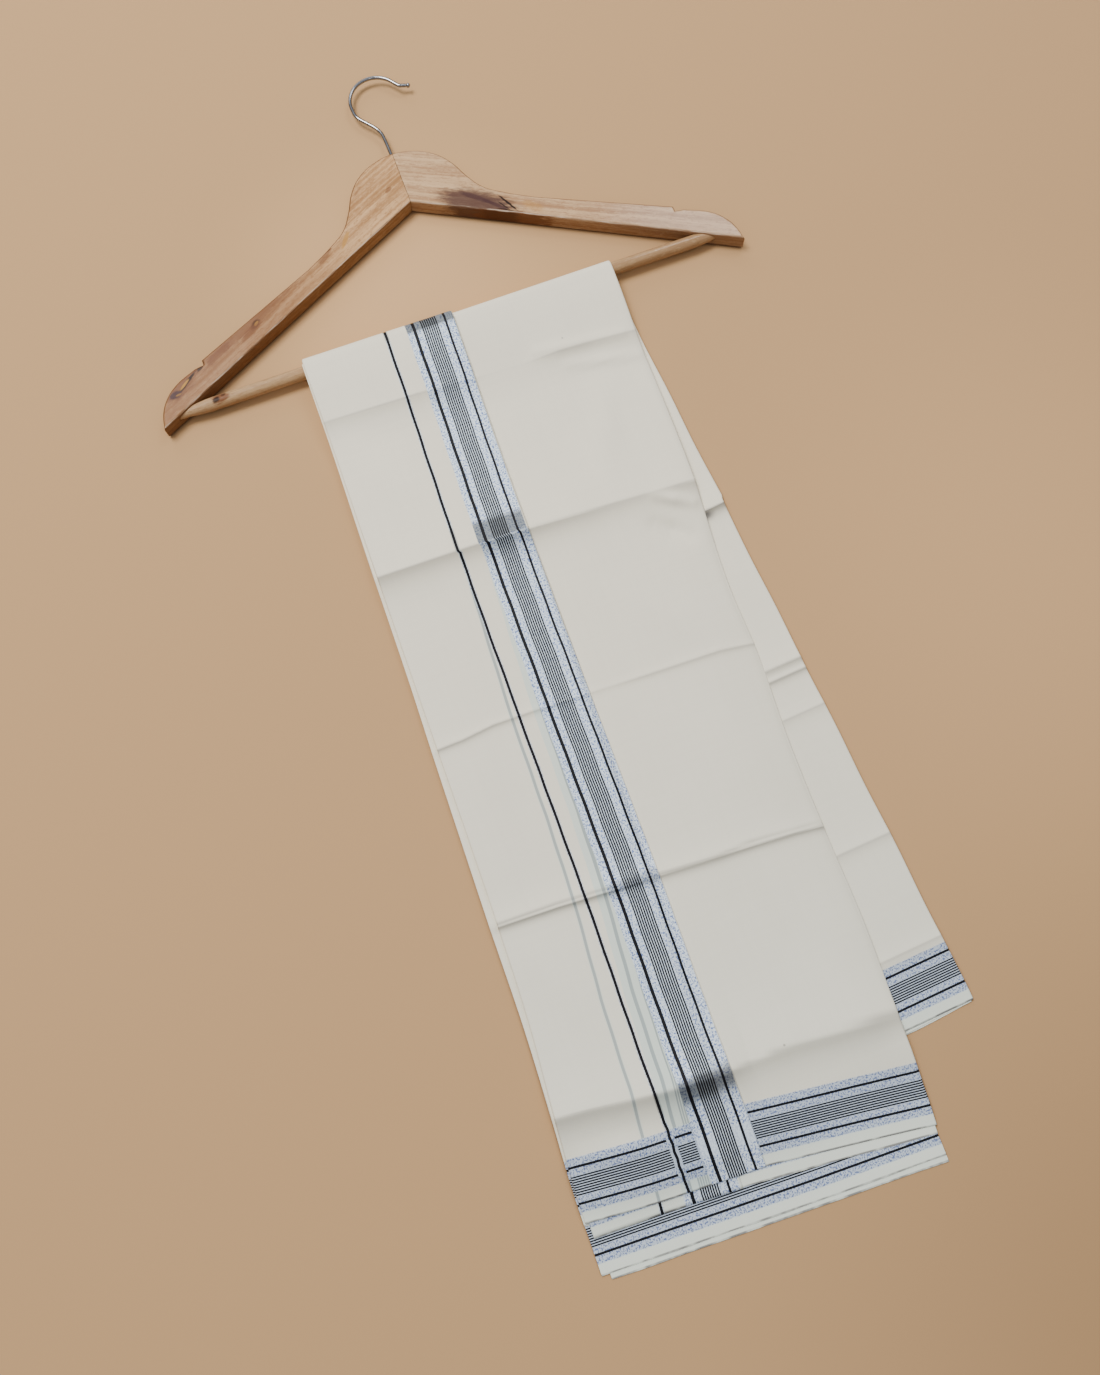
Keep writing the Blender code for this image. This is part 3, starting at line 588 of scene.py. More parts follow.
def buildInnerLeaves():
    p = innerPile
    loop = pileLoop(p)
    share = np.array([height for _, _, height in loop])
    ledgeRows, previous = [], None
    for ledge in p["ledges"]:
        if previous and previous[2] == ledge[2]:
            ledgeRows += [(previous, ledge, t) for t in (0.25, 0.5, 0.75)]
        ledgeRows.append((ledge, ledge, 0.0))
        previous = ledge
    xs, ys, zs, downs, hemAways, shades = [], [], [], [], [], []

    def addRow(x, y, z, down, hem, s):
        for values, row in ((xs, x), (ys, y), (zs, z), (downs, down), (shades, paintedCreaseShade(s, x)),
                            (hemAways, (hemAt(hem, x) - down) * 1000)):
            values.append(row)

    # height of the pile's outside, with its share of the relief
    def outside(x, s, down, level, relief):
        return carrier(x, down) + share * level + share * frontRelief(x, s, "upper") * relief

    for lower, upper, t in ledgeRows:
        level = lower[2]
        hem, inset = p["ledgeEdge"][level]
        x = loopAcross(loop, float(edgeAt(innerFold, p["ledgeEdgesAt"])) + inset,
                       float(edgeAt(rightFold, p["ledgeEdgesAt"])) - p["ledgeRightInset"])
        s = np.full_like(x, hemPlace)
        down = ledgeDown(lower, x) * (1 - t) + ledgeDown(upper, x) * t
        z = outside(x, s, down, level, p["ledgeRelief"])
        addRow(x, skewLeft(x, down) - down + layout["barY"], z, down, hem, s)
    body = rowPlaces(-wrapLength, p["bodyEnd"], [0.0] + creaseMarks, 0.0015, 0.0100)[::-1]
    for place in body:
        x = loopAcross(loop, float(edgeAt(innerFold, place)),
                       float(edgeAt(rightFold, place)) - p["rightInset"])
        s = np.full_like(x, place)
        down = frontDown(x, s, "upper")
        y, z = skewLeft(x, down) - down + layout["barY"], outside(x, s, down, leafTop["inner"], 1.0)
        if place < 0:
            _, y, z = placeFront(x, s, share * leafTop["inner"], "upper", stackHeight(x, s))
        addRow(x, y, z, down, "upper", s)
    x, down = np.array(xs), np.array(downs)
    fields = clothFields(x, down, np.array(hemAways), np.array(shades))
    return closedPile("dhotiInnerLeaves", (x, np.array(ys), np.array(zs)), fields, (x, down))


# The back drop, swung a little to the right of the front.
def placeBack(a, b, height):
    turn = layout["backTurn"]
    along = b + a * math.tan(turn) * (1 - smooth(b / 0.120))
    x = a * math.cos(turn) + along * math.sin(turn)
    return x, a * math.sin(turn) - along * math.cos(turn) + skewLeft(x, b) + layout["barY"], height


# The back's upper leaf. Its right edge steps out at the crease it was folded on.
backLeaf = {
    "height": 0.0023, "hemSink": 0.0006, "sinkOver": 0.010, "edgeStep": 0.0010, "edgeStepAt": 0.203,
    # painted shade on the metal thread: where, and how dark
    "paintedShadeAt": ((0.203, 0.6), (0.536, 0.2)), "paintedShadeReach": 0.003,
    # a painted shadow in the pocket beside the step; across: where it starts and over what, where it ends and
    # over what
    "pocketAt": 0.2092, "pocketWide": 0.0030, "pocketShadowStrength": 3.2, "pocketAcross": (0.096, 0.003, 0.104, 0.010),
}


def buildBackTopLeaf():
    length, top, stepAt = layout["backLength"], backLeaf["height"], backLeaf["edgeStepAt"]
    b = rowPlaces(0.0, length, [0.0, 0.203, 0.208, 0.329, 0.337, 0.366, 0.461, 0.536, length],
                  0.0008, 0.0045)[::-1]
    step = backLeaf["edgeStep"] * (smooth((stepAt - b) / 0.004) - smooth((stepAt + 0.012 - b) / 0.100) * 0.4)
    right = layout["backRight"] + step + 0.0003 * np.sin(b * 70)
    left = layout["backLeft"] + 0 * b
    spread = np.concatenate((np.linspace(0, 0.78, 30),
                             0.78 + 0.22 * unevenSpread(0.050, leafLook["edgeStep"])[1:]))
    a = np.concatenate((columnsBetween(left, right - leafLook["foldWide"], spread),
                        (right[:, None] - foldEdge()[0][None, ::-1])[:, 1:]), axis=1)
    b = np.broadcast_to(b[:, None], a.shape)
    h = top - backLeaf["hemSink"] * smooth((b - length + backLeaf["sinkOver"]) / backLeaf["sinkOver"])
    lift = creaseShape(a, b, backCreases) * smooth(b / 0.03) + uneven["back"] * ripple(a, b, 7)
    roundFold(h, lift, foldUnder["back"], atLeft=False)
    # painted shade of the metal thread at two creases, and a painted shadow in the pocket
    dark = sum(strength * np.exp(-((b - place) / backLeaf["paintedShadeReach"]) ** 2)
               for place, strength in backLeaf["paintedShadeAt"])
    pocketShadow = backLeaf["pocketShadowStrength"] * np.exp(-((b - backLeaf["pocketAt"]) / backLeaf["pocketWide"]) ** 2)
    start, startOver, end, endOver = backLeaf["pocketAcross"]
    pocketShadow = pocketShadow * smooth((a - start) / startOver) * (1 - smooth((a - end) / endOver))
    fields = clothFields(a, b, (length - b) * 1000, dark, creaseWear=creaseWear(a, b, backCreases) + pocketShadow,
                         **slopesOf(a, b, backCreases))
    return thinCloth("dhotiBackTopLeaf", placeBack(a, b, h + lift), fields, (a, b))


# The back drop's other leaves: a flat pile, its hems stepping out past the top one's.
backPile = {
    "leaves": 2, "leftRib": 0.0005, "rightRib": 0.0005, "columns": 60, "bottomStep": 10, "height": 0.0010,
    # across, how far the lowest hem shows; then share of that and the pile's height there
    "shows": ((-0.1165, 0.0032), (-0.040, 0.0032), (0.040, 0.0030), (0.080, 0.0026), (0.1197, 0.0012)),
    "ledges": ((1.0, 0.0005), (0.62, 0.0005), (0.58, 0.0010)),
}


def buildBackInnerLeaves():
    p, length = backPile, layout["backLength"]
    loop = pileLoop(p)
    a = loopAcross(loop, layout["backLeft"], layout["backRight"] - innerPile["rightInset"])
    share = np.array([height for _, _, height in loop])
    shows = np.array(p["shows"])
    places, down = [], []
    for past, level in p["ledges"]:
        b = length + past * np.interp(a, shows[:, 0], shows[:, 1]) + 0.00015 * np.sin(a * 130 + level * 5000)
        places.append(placeBack(a, b, share * level))
        down.append(b)
    for place in np.concatenate((np.linspace(0.572, 0.030, 90), np.linspace(0.026, 0.0, 8))):
        b = np.full_like(a, place)
        places.append(placeBack(a, b, share * p["height"]))
        down.append(b)
    down = np.array(down)
    fields = clothFields(down, down, (length + 0.003 - down) * 1000, 0 * down)
    return closedPile("dhotiBackInnerLeaves", tuple(np.array(c) for c in zip(*places)), fields,
                      (np.broadcast_to(a, down.shape), down))


# Shader helpers.
# An empty shader node group with named float inputs (or "vector"/"colour") and outputs.
def groupTree(name, inputs, outputs):
    tree = bpy.data.node_groups.new(name, "ShaderNodeTree")
    kinds = {"vector": "NodeSocketVector", "colour": "NodeSocketColor"}
    for label, value in inputs:
        kind = kinds.get(value, "NodeSocketFloat")
        socket = tree.interface.new_socket(label, in_out="INPUT", socket_type=kind)
        if kind == "NodeSocketFloat":
            socket.default_value = value
    for label in outputs:
        tree.interface.new_socket(label, in_out="OUTPUT", socket_type="NodeSocketFloat")
    return tree, tree.nodes.new("NodeGroupInput").outputs, tree.nodes.new("NodeGroupOutput").inputs


def newMaterial(name):
    material = bpy.data.materials.new(name)
    material.use_nodes = True
    return material, material.node_tree, material.node_tree.nodes["Principled BSDF"].inputs


def join(tree, socket, value):
    if isinstance(value, bpy.types.NodeSocket):
        tree.links.new(value, socket)
    else:
        socket.default_value = value


def calculate(tree, operation, *values, clamp=False):
    node = tree.nodes.new("ShaderNodeMath")
    node.operation = operation
    node.use_clamp = clamp
    for socket, value in zip(node.inputs, values):
        join(tree, socket, value)
    return node.outputs[0]


def times(tree, a, b, clamp=False):
    return calculate(tree, "MULTIPLY", a, b, clamp=clamp)


def plus(tree, a, b):
    return calculate(tree, "ADD", a, b)


def minus(tree, a, b):
    return calculate(tree, "SUBTRACT", a, b)


def largest(tree, mask, *others):
    for other in others:
        mask = calculate(tree, "MAXIMUM", mask, other)
    return mask


def vectorMath(tree, operation, *values):
    node = tree.nodes.new("ShaderNodeVectorMath")
    node.operation = operation
    for socket, value in zip(node.inputs, values):
        join(tree, socket, value)
    return node.outputs["Value" if operation == "DISTANCE" else "Vector"]


def ramp(tree, value, low, high, lowOut=0.0, highOut=1.0, kind="SMOOTHSTEP"):
    node = tree.nodes.new("ShaderNodeMapRange")
    node.interpolation_type = kind
    for socket, number in zip(node.inputs[:5], (value, low, high, lowOut, highOut)):
        join(tree, socket, number)
    return node.outputs[0]


# 1 between low and high.
def within(tree, value, low, high, soft):
    rise = ramp(tree, value, low - soft, low + soft)
    return times(tree, rise, ramp(tree, value, high - soft, high + soft, 1.0, 0.0))


def noiseOf(tree, vector, scale, detail=2.0, roughness=0.5, colour=False):
    node = tree.nodes.new("ShaderNodeTexNoise")
    join(tree, node.inputs["Vector"], vector)
    for key, value in (("Scale", scale), ("Detail", detail), ("Roughness", roughness)):
        join(tree, node.inputs[key], value)
    return node.outputs["Color" if colour else "Fac"]


def blendColour(tree, factor, a, b, kind="MIX"):
    node = tree.nodes.new("ShaderNodeMix")
    node.data_type = "RGBA"
    node.blend_type = kind
    join(tree, node.inputs[0], factor)
    join(tree, node.inputs[6], a)
    join(tree, node.inputs[7], b)
    return node.outputs[2]


def scaled(tree, vector, scale):
    node = tree.nodes.new("ShaderNodeMapping")
    join(tree, node.inputs["Vector"], vector)
    node.inputs["Scale"].default_value = scale
    return node.outputs[0]


# Noise stretched by a scale along each axis.
def grainOf(tree, vector, scale, detail=2.0, roughness=0.5, colour=False):
    return noiseOf(tree, scaled(tree, vector, scale), 1.0, detail, roughness, colour)


def splitVector(tree, vector):
    node = tree.nodes.new("ShaderNodeSeparateXYZ")
    join(tree, node.inputs[0], vector)
    return node.outputs


def turnedFlat(tree, vector, angle):
    node = tree.nodes.new("ShaderNodeVectorRotate")
    node.rotation_type = "Z_AXIS"
    join(tree, node.inputs["Vector"], vector)
    join(tree, node.inputs["Angle"], angle)
    return node.outputs[0]


def bumpOf(tree, height, strength, distance):
    node = tree.nodes.new("ShaderNodeBump")
    node.inputs["Strength"].default_value = strength
    node.inputs["Distance"].default_value = distance
    join(tree, node.inputs["Height"], height)
    return node


def useGroup(tree, group, **values):
    node = tree.nodes.new("ShaderNodeGroup")
    node.node_tree = group
    for label, value in values.items():
        join(tree, node.inputs[label], value)
    return node.outputs


def attributeOf(tree, name):
    node = tree.nodes.new("ShaderNodeAttribute")
    node.attribute_name = name
    return node.outputs["Fac"]


# 1 within half a line's width of it.
def lineMask(tree, away, given):
    half, soft = times(tree, given["Width"], 0.5), given["Soft"]
    return ramp(tree, away, minus(tree, half, soft), plus(tree, half, soft), 1.0, 0.0)


# Mask of one woven line at its place.
def buildLineGroup():
    tree, given, made = groupTree(
        "wovenLine", (("Away", 0.0), ("Place", 0.0), ("Width", 1.0), ("Soft", 0.12)), ("Mask",))
    away = calculate(tree, "ABSOLUTE", minus(tree, given["Away"], given["Place"]))
    join(tree, made["Mask"], lineMask(tree, away, given))
    return tree


# Mask of a set of evenly spaced lines.
def buildLineSetGroup():
    tree, given, made = groupTree(
        "wovenLineSet", (("Away", 0.0), ("First", 0.0), ("Pitch", 1.5), ("Count", 8.0), ("Width", 0.6),
                         ("Soft", 0.1)), ("Mask",))
    place = calculate(tree, "DIVIDE", minus(tree, given["Away"], given["First"]), given["Pitch"])
    nearest = largest(tree, calculate(tree, "ROUND", place), 0.0)
    nearest = calculate(tree, "MINIMUM", nearest, minus(tree, given["Count"], 1.0))
    away = times(tree, calculate(tree, "ABSOLUTE", minus(tree, place, nearest)), given["Pitch"])
    join(tree, made["Mask"], lineMask(tree, away, given))
    return tree


border = {   # in mm, from the single line (end border) and from the hem (selvedge border)
    "singleWidth": 1.90, "thickLine": 21.0, "thickWidth": 2.30, "endLine": 44.8, "endWidth": 1.70,
    "thinFirst": 27.2, "thinPitch": 1.56, "thinWidth": 1.05, "endZariFrom": 15.3, "endZariTo": 51.2,
    "lineZari": 1.6, "lineZariCover": 0.6,
    "lowLine": 12.6, "highLine": 34.4, "hemWidth": 1.55,
    "hemThinFirst": 17.9, "hemThinPitch": 1.52, "hemThinWidth": 0.95, "hemZariFrom": 7.1, "hemZariTo": 40.0,
    # the hem's lines are left out this much before and after the end border and beside the single line
    "openBefore": 1.2, "openAfter": 4.0, "crossing": 2.7,
    "calmMargin": 1.0,
}


# Black lines and metal-thread bands of the borders, from the distances to the line and the hem.
def buildBorderGroup(lineGroup, setGroup):
    tree, given, made = groupTree("wovenBorders", (("Line Away", 0.0), ("Hem Away", 0.0)),
                                  ("Lines", "Zari", "Hem Zari", "Calm"))
    fromLine, fromHem, b = given["Line Away"], given["Hem Away"], border

    def line(source, place, width):
        return useGroup(tree, lineGroup, Away=source, Place=place, Width=width)["Mask"]

    # a set of thin lines, and a mask of the ground between them
    def lineSet(source, first, pitch, width):
        lines = useGroup(tree, setGroup, Away=source, First=first, Pitch=pitch, Width=width)["Mask"]
        margin = b["calmMargin"]
        return lines, within(tree, source, first - margin, first + 7 * pitch + margin, 0.3)

    thin, calmEnd = lineSet(fromLine, b["thinFirst"], b["thinPitch"], b["thinWidth"])
    hemThin, calmHem = lineSet(fromHem, b["hemThinFirst"], b["hemThinPitch"], b["hemThinWidth"])
    endLines = largest(tree, thin, line(fromLine, 0.0, b["singleWidth"]),
                       line(fromLine, b["thickLine"], b["thickWidth"]),
                       line(fromLine, b["endLine"], b["endWidth"]))
    hemLines = largest(tree, line(fromHem, b["lowLine"], b["hemWidth"]), hemThin,
                       line(fromHem, b["highLine"], b["hemWidth"]))
    # the selvedge's lines stop at the end border and on both sides of the single line
    endBand = within(tree, fromLine, b["endZariFrom"] - b["openBefore"],
                     b["endZariTo"] + b["openAfter"], 0.15)
    besideLine = within(tree, fromLine, -b["crossing"], b["crossing"], 0.15)
    hemLines = times(tree, hemLines, times(tree, minus(tree, 1.0, endBand), minus(tree, 1.0, besideLine)))
    join(tree, made["Lines"], largest(tree, endLines, hemLines))
    zariEnd = within(tree, fromLine, b["endZariFrom"], b["endZariTo"], 0.35)
    zariLine = times(tree, within(tree, fromLine, -b["lineZari"], b["lineZari"], 0.3), b["lineZariCover"])
    zariHem = within(tree, fromHem, b["hemZariFrom"], b["hemZariTo"], 0.5)
    join(tree, made["Zari"], largest(tree, zariEnd, zariLine, zariHem))
    join(tree, made["Calm"], largest(tree, calmEnd, calmHem))
    join(tree, made["Hem Zari"], times(tree, zariHem, minus(tree, 1.0, zariEnd)))
    return tree


# Plain weave: height of the threads, and a slow unevenness of tone with a few slubs.
def buildWeaveGroup():
    tree, given, made = groupTree("plainWeave", (("Map", "vector"), ("Pitch", 0.00042)),
                                  ("Height", "Tone", "Slub"))
    across, down, _ = splitVector(tree, given["Map"])
    turns = calculate(tree, "DIVIDE", math.pi, given["Pitch"])
    threads = times(tree, calculate(tree, "SINE", times(tree, across, turns)),
                    calculate(tree, "SINE", times(tree, down, turns)))
    join(tree, made["Height"], plus(tree, times(tree, threads, 0.25),
                                    grainOf(tree, given["Map"], (900, 900, 1), 3.0, 0.6)))
    streak, cross = grainOf(tree, given["Map"], (260, 14, 1)), grainOf(tree, given["Map"], (12, 300, 1))
    cloud = grainOf(tree, given["Map"], (9, 9, 1), 3.0)
    tone = plus(tree, times(tree, streak, 0.25), times(tree, cross, 0.25))
    join(tree, made["Tone"], plus(tree, tone, times(tree, cloud, 0.5)))
    cells = tree.nodes.new("ShaderNodeTexVoronoi")
    cells.inputs["Scale"].default_value = 1.0
    join(tree, cells.inputs["Vector"], scaled(tree, given["Map"], (28, 28, 1)))
    dot = ramp(tree, cells.outputs["Distance"], 0.018, 0.030, 1.0, 0.0)
    pick = tree.nodes.new("ShaderNodeSeparateColor")
    join(tree, pick.inputs[0], cells.outputs["Color"])
    join(tree, made["Slub"], times(tree, dot, calculate(tree, "GREATER_THAN", pick.outputs[0], 0.80)))
    return tree


# Flat metal thread between cotton: bright and dark flecks, a thread or two long, painted glints of the
# silver.
def buildZariGroup():
    tree, given, made = groupTree("metalFlecks", (("Map", "vector"),), ("Fleck", "Height"))
    both = times(tree, plus(tree, grainOf(tree, given["Map"], (760, 900, 1), 1.0),
                            grainOf(tree, given["Map"], (1500, 620, 1), 1.0)), 0.5)
    join(tree, made["Fleck"], ramp(tree, both, 0.43, 0.51))
    join(tree, made["Height"], both)
    return tree


# Cloth colours. The metal thread's light and dark colours paint its glints and reflections; its crease
# colour, the hem colour and the last colour are painted shade.
clothColours = {
    "warm": (0.92, 0.855, 0.69, 1), "cool": (0.79, 0.86, 0.77, 1), "line": (0.0025, 0.0025, 0.005, 1),
    "zariLight": (0.80, 0.91, 1.0, 1), "zariDark": (0.14, 0.22, 0.50, 1),
    "zariPaintedShade": (0.035, 0.035, 0.04, 1), "hemZariTint": (0.72, 0.73, 0.77, 1),
    "through": (0.15, 0.20, 0.24, 1), "throughZari": (0.62, 0.77, 0.72, 1), "slub": (0.10, 0.09, 0.10, 1),
    "hemShade": (0.16, 0.15, 0.15, 1), "paintedLighting": (0.30, 0.28, 0.25, 1),
}
clothFinish = {
    "foldShade": 0.42, "creaseTilt": 2.2, "creasePaintedShade": 0.88, "throughLines": 0.58, "throughZari": 0.60,
    "slubDark": 0.5, "hemEdge": 0.85, "lowCool": 0.30, "stripCool": 0.85, "zariCover": 0.93, "calm": 0.66,
    "metal": 0.15, "sheen": 0.03, "sheenRoughness": 0.5, "specular": 0.2, "roughness": 0.90,
    "zariRoughness": 0.55, "weaveBump": 0.35, "weaveHeight": 0.00012,
}


def buildClothMaterial(name, groups):
    material, tree, finish = newMaterial(name)
    c, f = clothColours, clothFinish
    mapNode = tree.nodes.new("ShaderNodeUVMap")
    mapNode.uv_map = "clothMap"
    cloth = mapNode.outputs[0]
    weave, flecks = (useGroup(tree, groups[key], Map=cloth) for key in ("weave", "zari"))
    hem = attributeOf(tree, "hemAway")
    shown, under = (useGroup(tree, groups["border"],
                             **{"Line Away": attributeOf(tree, line), "Hem Away": away})
                    for line, away in (("lineAway", hem), ("underAway", nowhere)))
    # the cloth is creamy; a painted cool cast of the light makes it cooler low down and in the strips between
    # the borders and the hems
    low = plus(tree, attributeOf(tree, "down"), times(tree, weave["Tone"], 0.12))
    cool = largest(tree, ramp(tree, low, 0.25, 0.75, 0.0, f["lowCool"]),
                   ramp(tree, hem, 7.0, 11.0, f["stripCool"], 0.0))
    toneColour = tree.nodes.new("ShaderNodeCombineColor")
    for socket in toneColour.inputs[:3]:
        join(tree, socket, ramp(tree, weave["Tone"], 0.3, 0.7, 0.97, 1.03, "LINEAR"))
    base = blendColour(tree, cool, c["warm"], c["cool"])
    base = blendColour(tree, 1.0, base, toneColour.outputs[0], "MULTIPLY")
    # a painted shadow line along each hem's edge, with the edge thread's own darkness
    hemEdge = times(tree, ramp(tree, hem, 0.6, 1.3, f["hemEdge"], 0.0),
                    ramp(tree, grainOf(tree, cloth, (90, 20, 1)), 0.35, 0.6, 0.25, 1.0))
    # mixed in: lines showing through, slubs, the painted hem shadow, and painted shade along the creases, the
    # right fold and the back's pocket
    for mask, colour in ((times(tree, under["Zari"], f["throughZari"]), "throughZari"),
                         (times(tree, under["Lines"], f["throughLines"]), "through"),
                         (times(tree, weave["Slub"], f["slubDark"]), "slub"), (hemEdge, "hemShade"),
                         (times(tree, attributeOf(tree, "creaseWear"), f["foldShade"]), "paintedLighting")):
        base = blendColour(tree, mask, base, c[colour])
    # painted shade on the metal thread at the creases, where it also loses its metal
    crease = times(tree, attributeOf(tree, "paintedCreaseShade"), f["creasePaintedShade"])
    # the silver is painted light and dark, its bright flecks painted glints
    fleck = largest(tree, flecks["Fleck"], times(tree, shown["Calm"], f["calm"]))
    metal = blendColour(tree, fleck, c["zariDark"], c["zariLight"])
    metal = blendColour(tree, shown["Hem Zari"], metal, c["hemZariTint"], "MULTIPLY")
    metal = blendColour(tree, crease, metal, c["zariPaintedShade"])
    base = blendColour(tree, times(tree, shown["Zari"], f["zariCover"]), base, metal)
    join(tree, finish["Base Color"], blendColour(tree, shown["Lines"], base, c["line"]))
    bare = times(tree, minus(tree, 1.0, shown["Lines"]), minus(tree, 1.0, crease))
    join(tree, finish["Metallic"], times(tree, times(tree, shown["Zari"], bare), f["metal"]))
    join(tree, finish["Roughness"],
         ramp(tree, shown["Zari"], 0.0, 1.0, f["roughness"], f["zariRoughness"], "LINEAR"))
    finish["Specular IOR Level"].default_value = f["specular"]
    finish["Sheen Weight"].default_value = f["sheen"]
    finish["Sheen Roughness"].default_value = f["sheenRoughness"]
    height = plus(tree, weave["Height"], times(tree, shown["Zari"], flecks["Height"]))
    bump = bumpOf(tree, height, f["weaveBump"], f["weaveHeight"])
    # the pressed creases shade a little more sharply than the thin shell can fold
    tilt = tree.nodes.new("ShaderNodeCombineXYZ")
    join(tree, tilt.inputs[0], times(tree, attributeOf(tree, "slant"), -f["creaseTilt"]))
    join(tree, tilt.inputs[1], times(tree, attributeOf(tree, "slope"), f["creaseTilt"]))
    normal = tree.nodes.new("ShaderNodeNewGeometry").outputs["Normal"]
    tilted = vectorMath(tree, "NORMALIZE", vectorMath(tree, "ADD", normal, tilt.outputs[0]))
    join(tree, bump.inputs["Normal"], tilted)
    join(tree, finish["Normal"], bump.outputs[0])
    return material


# Wood grain running along an arm: long streaks, growth rings and fine pores.
def buildGrainGroup():
    tree, given, made = groupTree("armGrain", (("Place", "vector"), ("Angle", 0.0)),
                                  ("Tone", "Pores", "Fray", "Specks"))
    along = turnedFlat(tree, given["Place"], given["Angle"])
    bend = grainOf(tree, along, (6, 24, 24), colour=True)
    wavy = vectorMath(tree, "MULTIPLY_ADD", bend, (0.0, 0.012, 0.012), along)
    rings, broad = grainOf(tree, wavy, (7, 330, 330), 3.0, 0.6), grainOf(tree, wavy, (4, 70, 70))
    join(tree, made["Tone"], plus(tree, times(tree, rings, 0.5), times(tree, broad, 0.5)))
    join(tree, made["Pores"], grainOf(tree, along, (60, 1500, 1500), 2.0, 0.6))
    join(tree, made["Fray"], grainOf(tree, along, (110, 480, 480), 3.0, 0.65))
    join(tree, made["Specks"], grainOf(tree, along, (190, 520, 520), 3.0, 0.75))
    return tree


# Colours of the marks. The side colour is painted shade for the arms' sides and outer edge, and the last
# colour a painted highlight for the inner edge.
woodColours = {
    "red": (0.17, 0.058, 0.022, 1), "knot": (0.010, 0.004, 0.003, 1), "purple": (0.050, 0.018, 0.020, 1),
    "ochre": (0.46, 0.22, 0.035, 1), "side": (0.12, 0.05, 0.02, 1), "paintedLighting": (0.80, 0.63, 0.47, 1),
}
# Knots and stains: middle (x, y), half length, half width, turn in degrees, colour, strength.
armWood = {
    "left": {
        "light": (0.66, 0.395, 0.19, 1), "dark": (0.35, 0.17, 0.062, 1), "grain": -27.0,
        "reddens": (-0.14, -0.03, 0.52), "side": 0.52,
        "marks": (
            (-0.1480, 0.2630, 0.0560, 0.0062, 25, "red", 0.62),
            (-0.2035, 0.2345, 0.0190, 0.0075, 40, "red", 0.75),
            (-0.1995, 0.2348, 0.0112, 0.0016, 38, "knot", 0.92),
            (-0.2015, 0.2338, 0.0062, 0.0011, 38, "ochre", 0.90),
            (-0.2098, 0.2280, 0.0052, 0.0034, 20, "purple", 0.95),
            (-0.2078, 0.2275, 0.0026, 0.0009, 10, "ochre", 0.50),
            (-0.1862, 0.2440, 0.0052, 0.0020, 45, "knot", 0.85),
            (-0.1730, 0.2478, 0.0150, 0.0034, 30, "red", 0.70),
            (-0.1395, 0.2625, 0.0058, 0.0026, 42, "knot", 0.62),
            (-0.1385, 0.2628, 0.0026, 0.0012, 40, "ochre", 0.80),
            (-0.1440, 0.2580, 0.0110, 0.0036, 32, "red", 0.60),
            (-0.0716, 0.3035, 0.0038, 0.0026, 30, "knot", 0.95),
            (-0.0745, 0.2990, 0.0100, 0.0036, 50, "red", 0.60),
            (-0.0560, 0.3060, 0.0090, 0.0020, 55, "ochre", 0.65),
            (-0.0128, 0.3352, 0.0034, 0.0018, 27, "red", 0.60),
            (-0.0350, 0.3420, 0.0060, 0.0010, 40, "red", 0.40),
        ),
    },
    "right": {
        "light": (0.66, 0.43, 0.235, 1), "dark": (0.36, 0.19, 0.09, 1), "grain": 27.0,
        "reddens": (0.24, 0.06, 0.22), "side": 0.42,
        "marks": (
            (0.0470, 0.3018, 0.0340, 0.0118, -33, "purple", 0.84),
            (0.0480, 0.3060, 0.0170, 0.0024, -40, "purple", 0.60),
            (0.0590, 0.2960, 0.0130, 0.0016, -44, "purple", 0.60),
            (0.0688, 0.2935, 0.0110, 0.0010, -62, "knot", 0.95),
            (0.0662, 0.2880, 0.0085, 0.0009, -31, "knot", 0.95),
            (0.0652, 0.2922, 0.0070, 0.0006, -58, "knot", 0.80),
            (0.0700, 0.2843, 0.0330, 0.0018, -27, "red", 0.85),
            (0.0610, 0.2889, 0.0150, 0.0012, -27, "knot", 0.45),
            (0.0855, 0.2850, 0.0100, 0.0040, -42, "ochre", 0.35),
            (0.1150, 0.2830, 0.0240, 0.0040, -25, "red", 0.30),
            (0.1700, 0.2560, 0.0260, 0.0040, -25, "red", 0.25),
        ),
    },
    "bar": {
        "light": (0.52, 0.335, 0.175, 1), "dark": (0.34, 0.19, 0.085, 1), "grain": 0.0,
        "reddens": (-0.21, -0.15, 0.10), "side": 0.0,
        "marks": (
            (-0.1800, 0.2158, 0.0075, 0.0040, 10, "red", 0.90),
            (-0.1835, 0.2150, 0.0036, 0.0022, 20, "knot", 0.85),
            (-0.1775, 0.2172, 0.0024, 0.0014, 20, "knot", 0.60),
        ),
    },
}


# Mask of one knot or stain: an oval at a place, turned, its outline frayed by the grain.
def buildMarkGroup():
    tree, given, made = groupTree(
        "woodMark", (("Place", "vector"), ("Centre", "vector"), ("Turn", 0.0), ("Half Length", 0.01),
                     ("Half Width", 0.003), ("Fray", 0.5), ("Rough", 1.0)), ("Mask",))
    away = vectorMath(tree, "SUBTRACT", given["Place"], given["Centre"])
    x, y, _ = splitVector(tree, turnedFlat(tree, away, times(tree, given["Turn"], -math.pi / 180)))
    along = calculate(tree, "DIVIDE", x, given["Half Length"])
    wide = calculate(tree, "DIVIDE", y, given["Half Width"])
    reach = calculate(tree, "SQRT", plus(tree, times(tree, along, along), times(tree, wide, wide)))
    reach = plus(tree, reach, times(tree, minus(tree, given["Fray"], 0.5), given["Rough"]))
    join(tree, made["Mask"], ramp(tree, reach, 0.60, 1.10, 1.0, 0.0))
    return tree


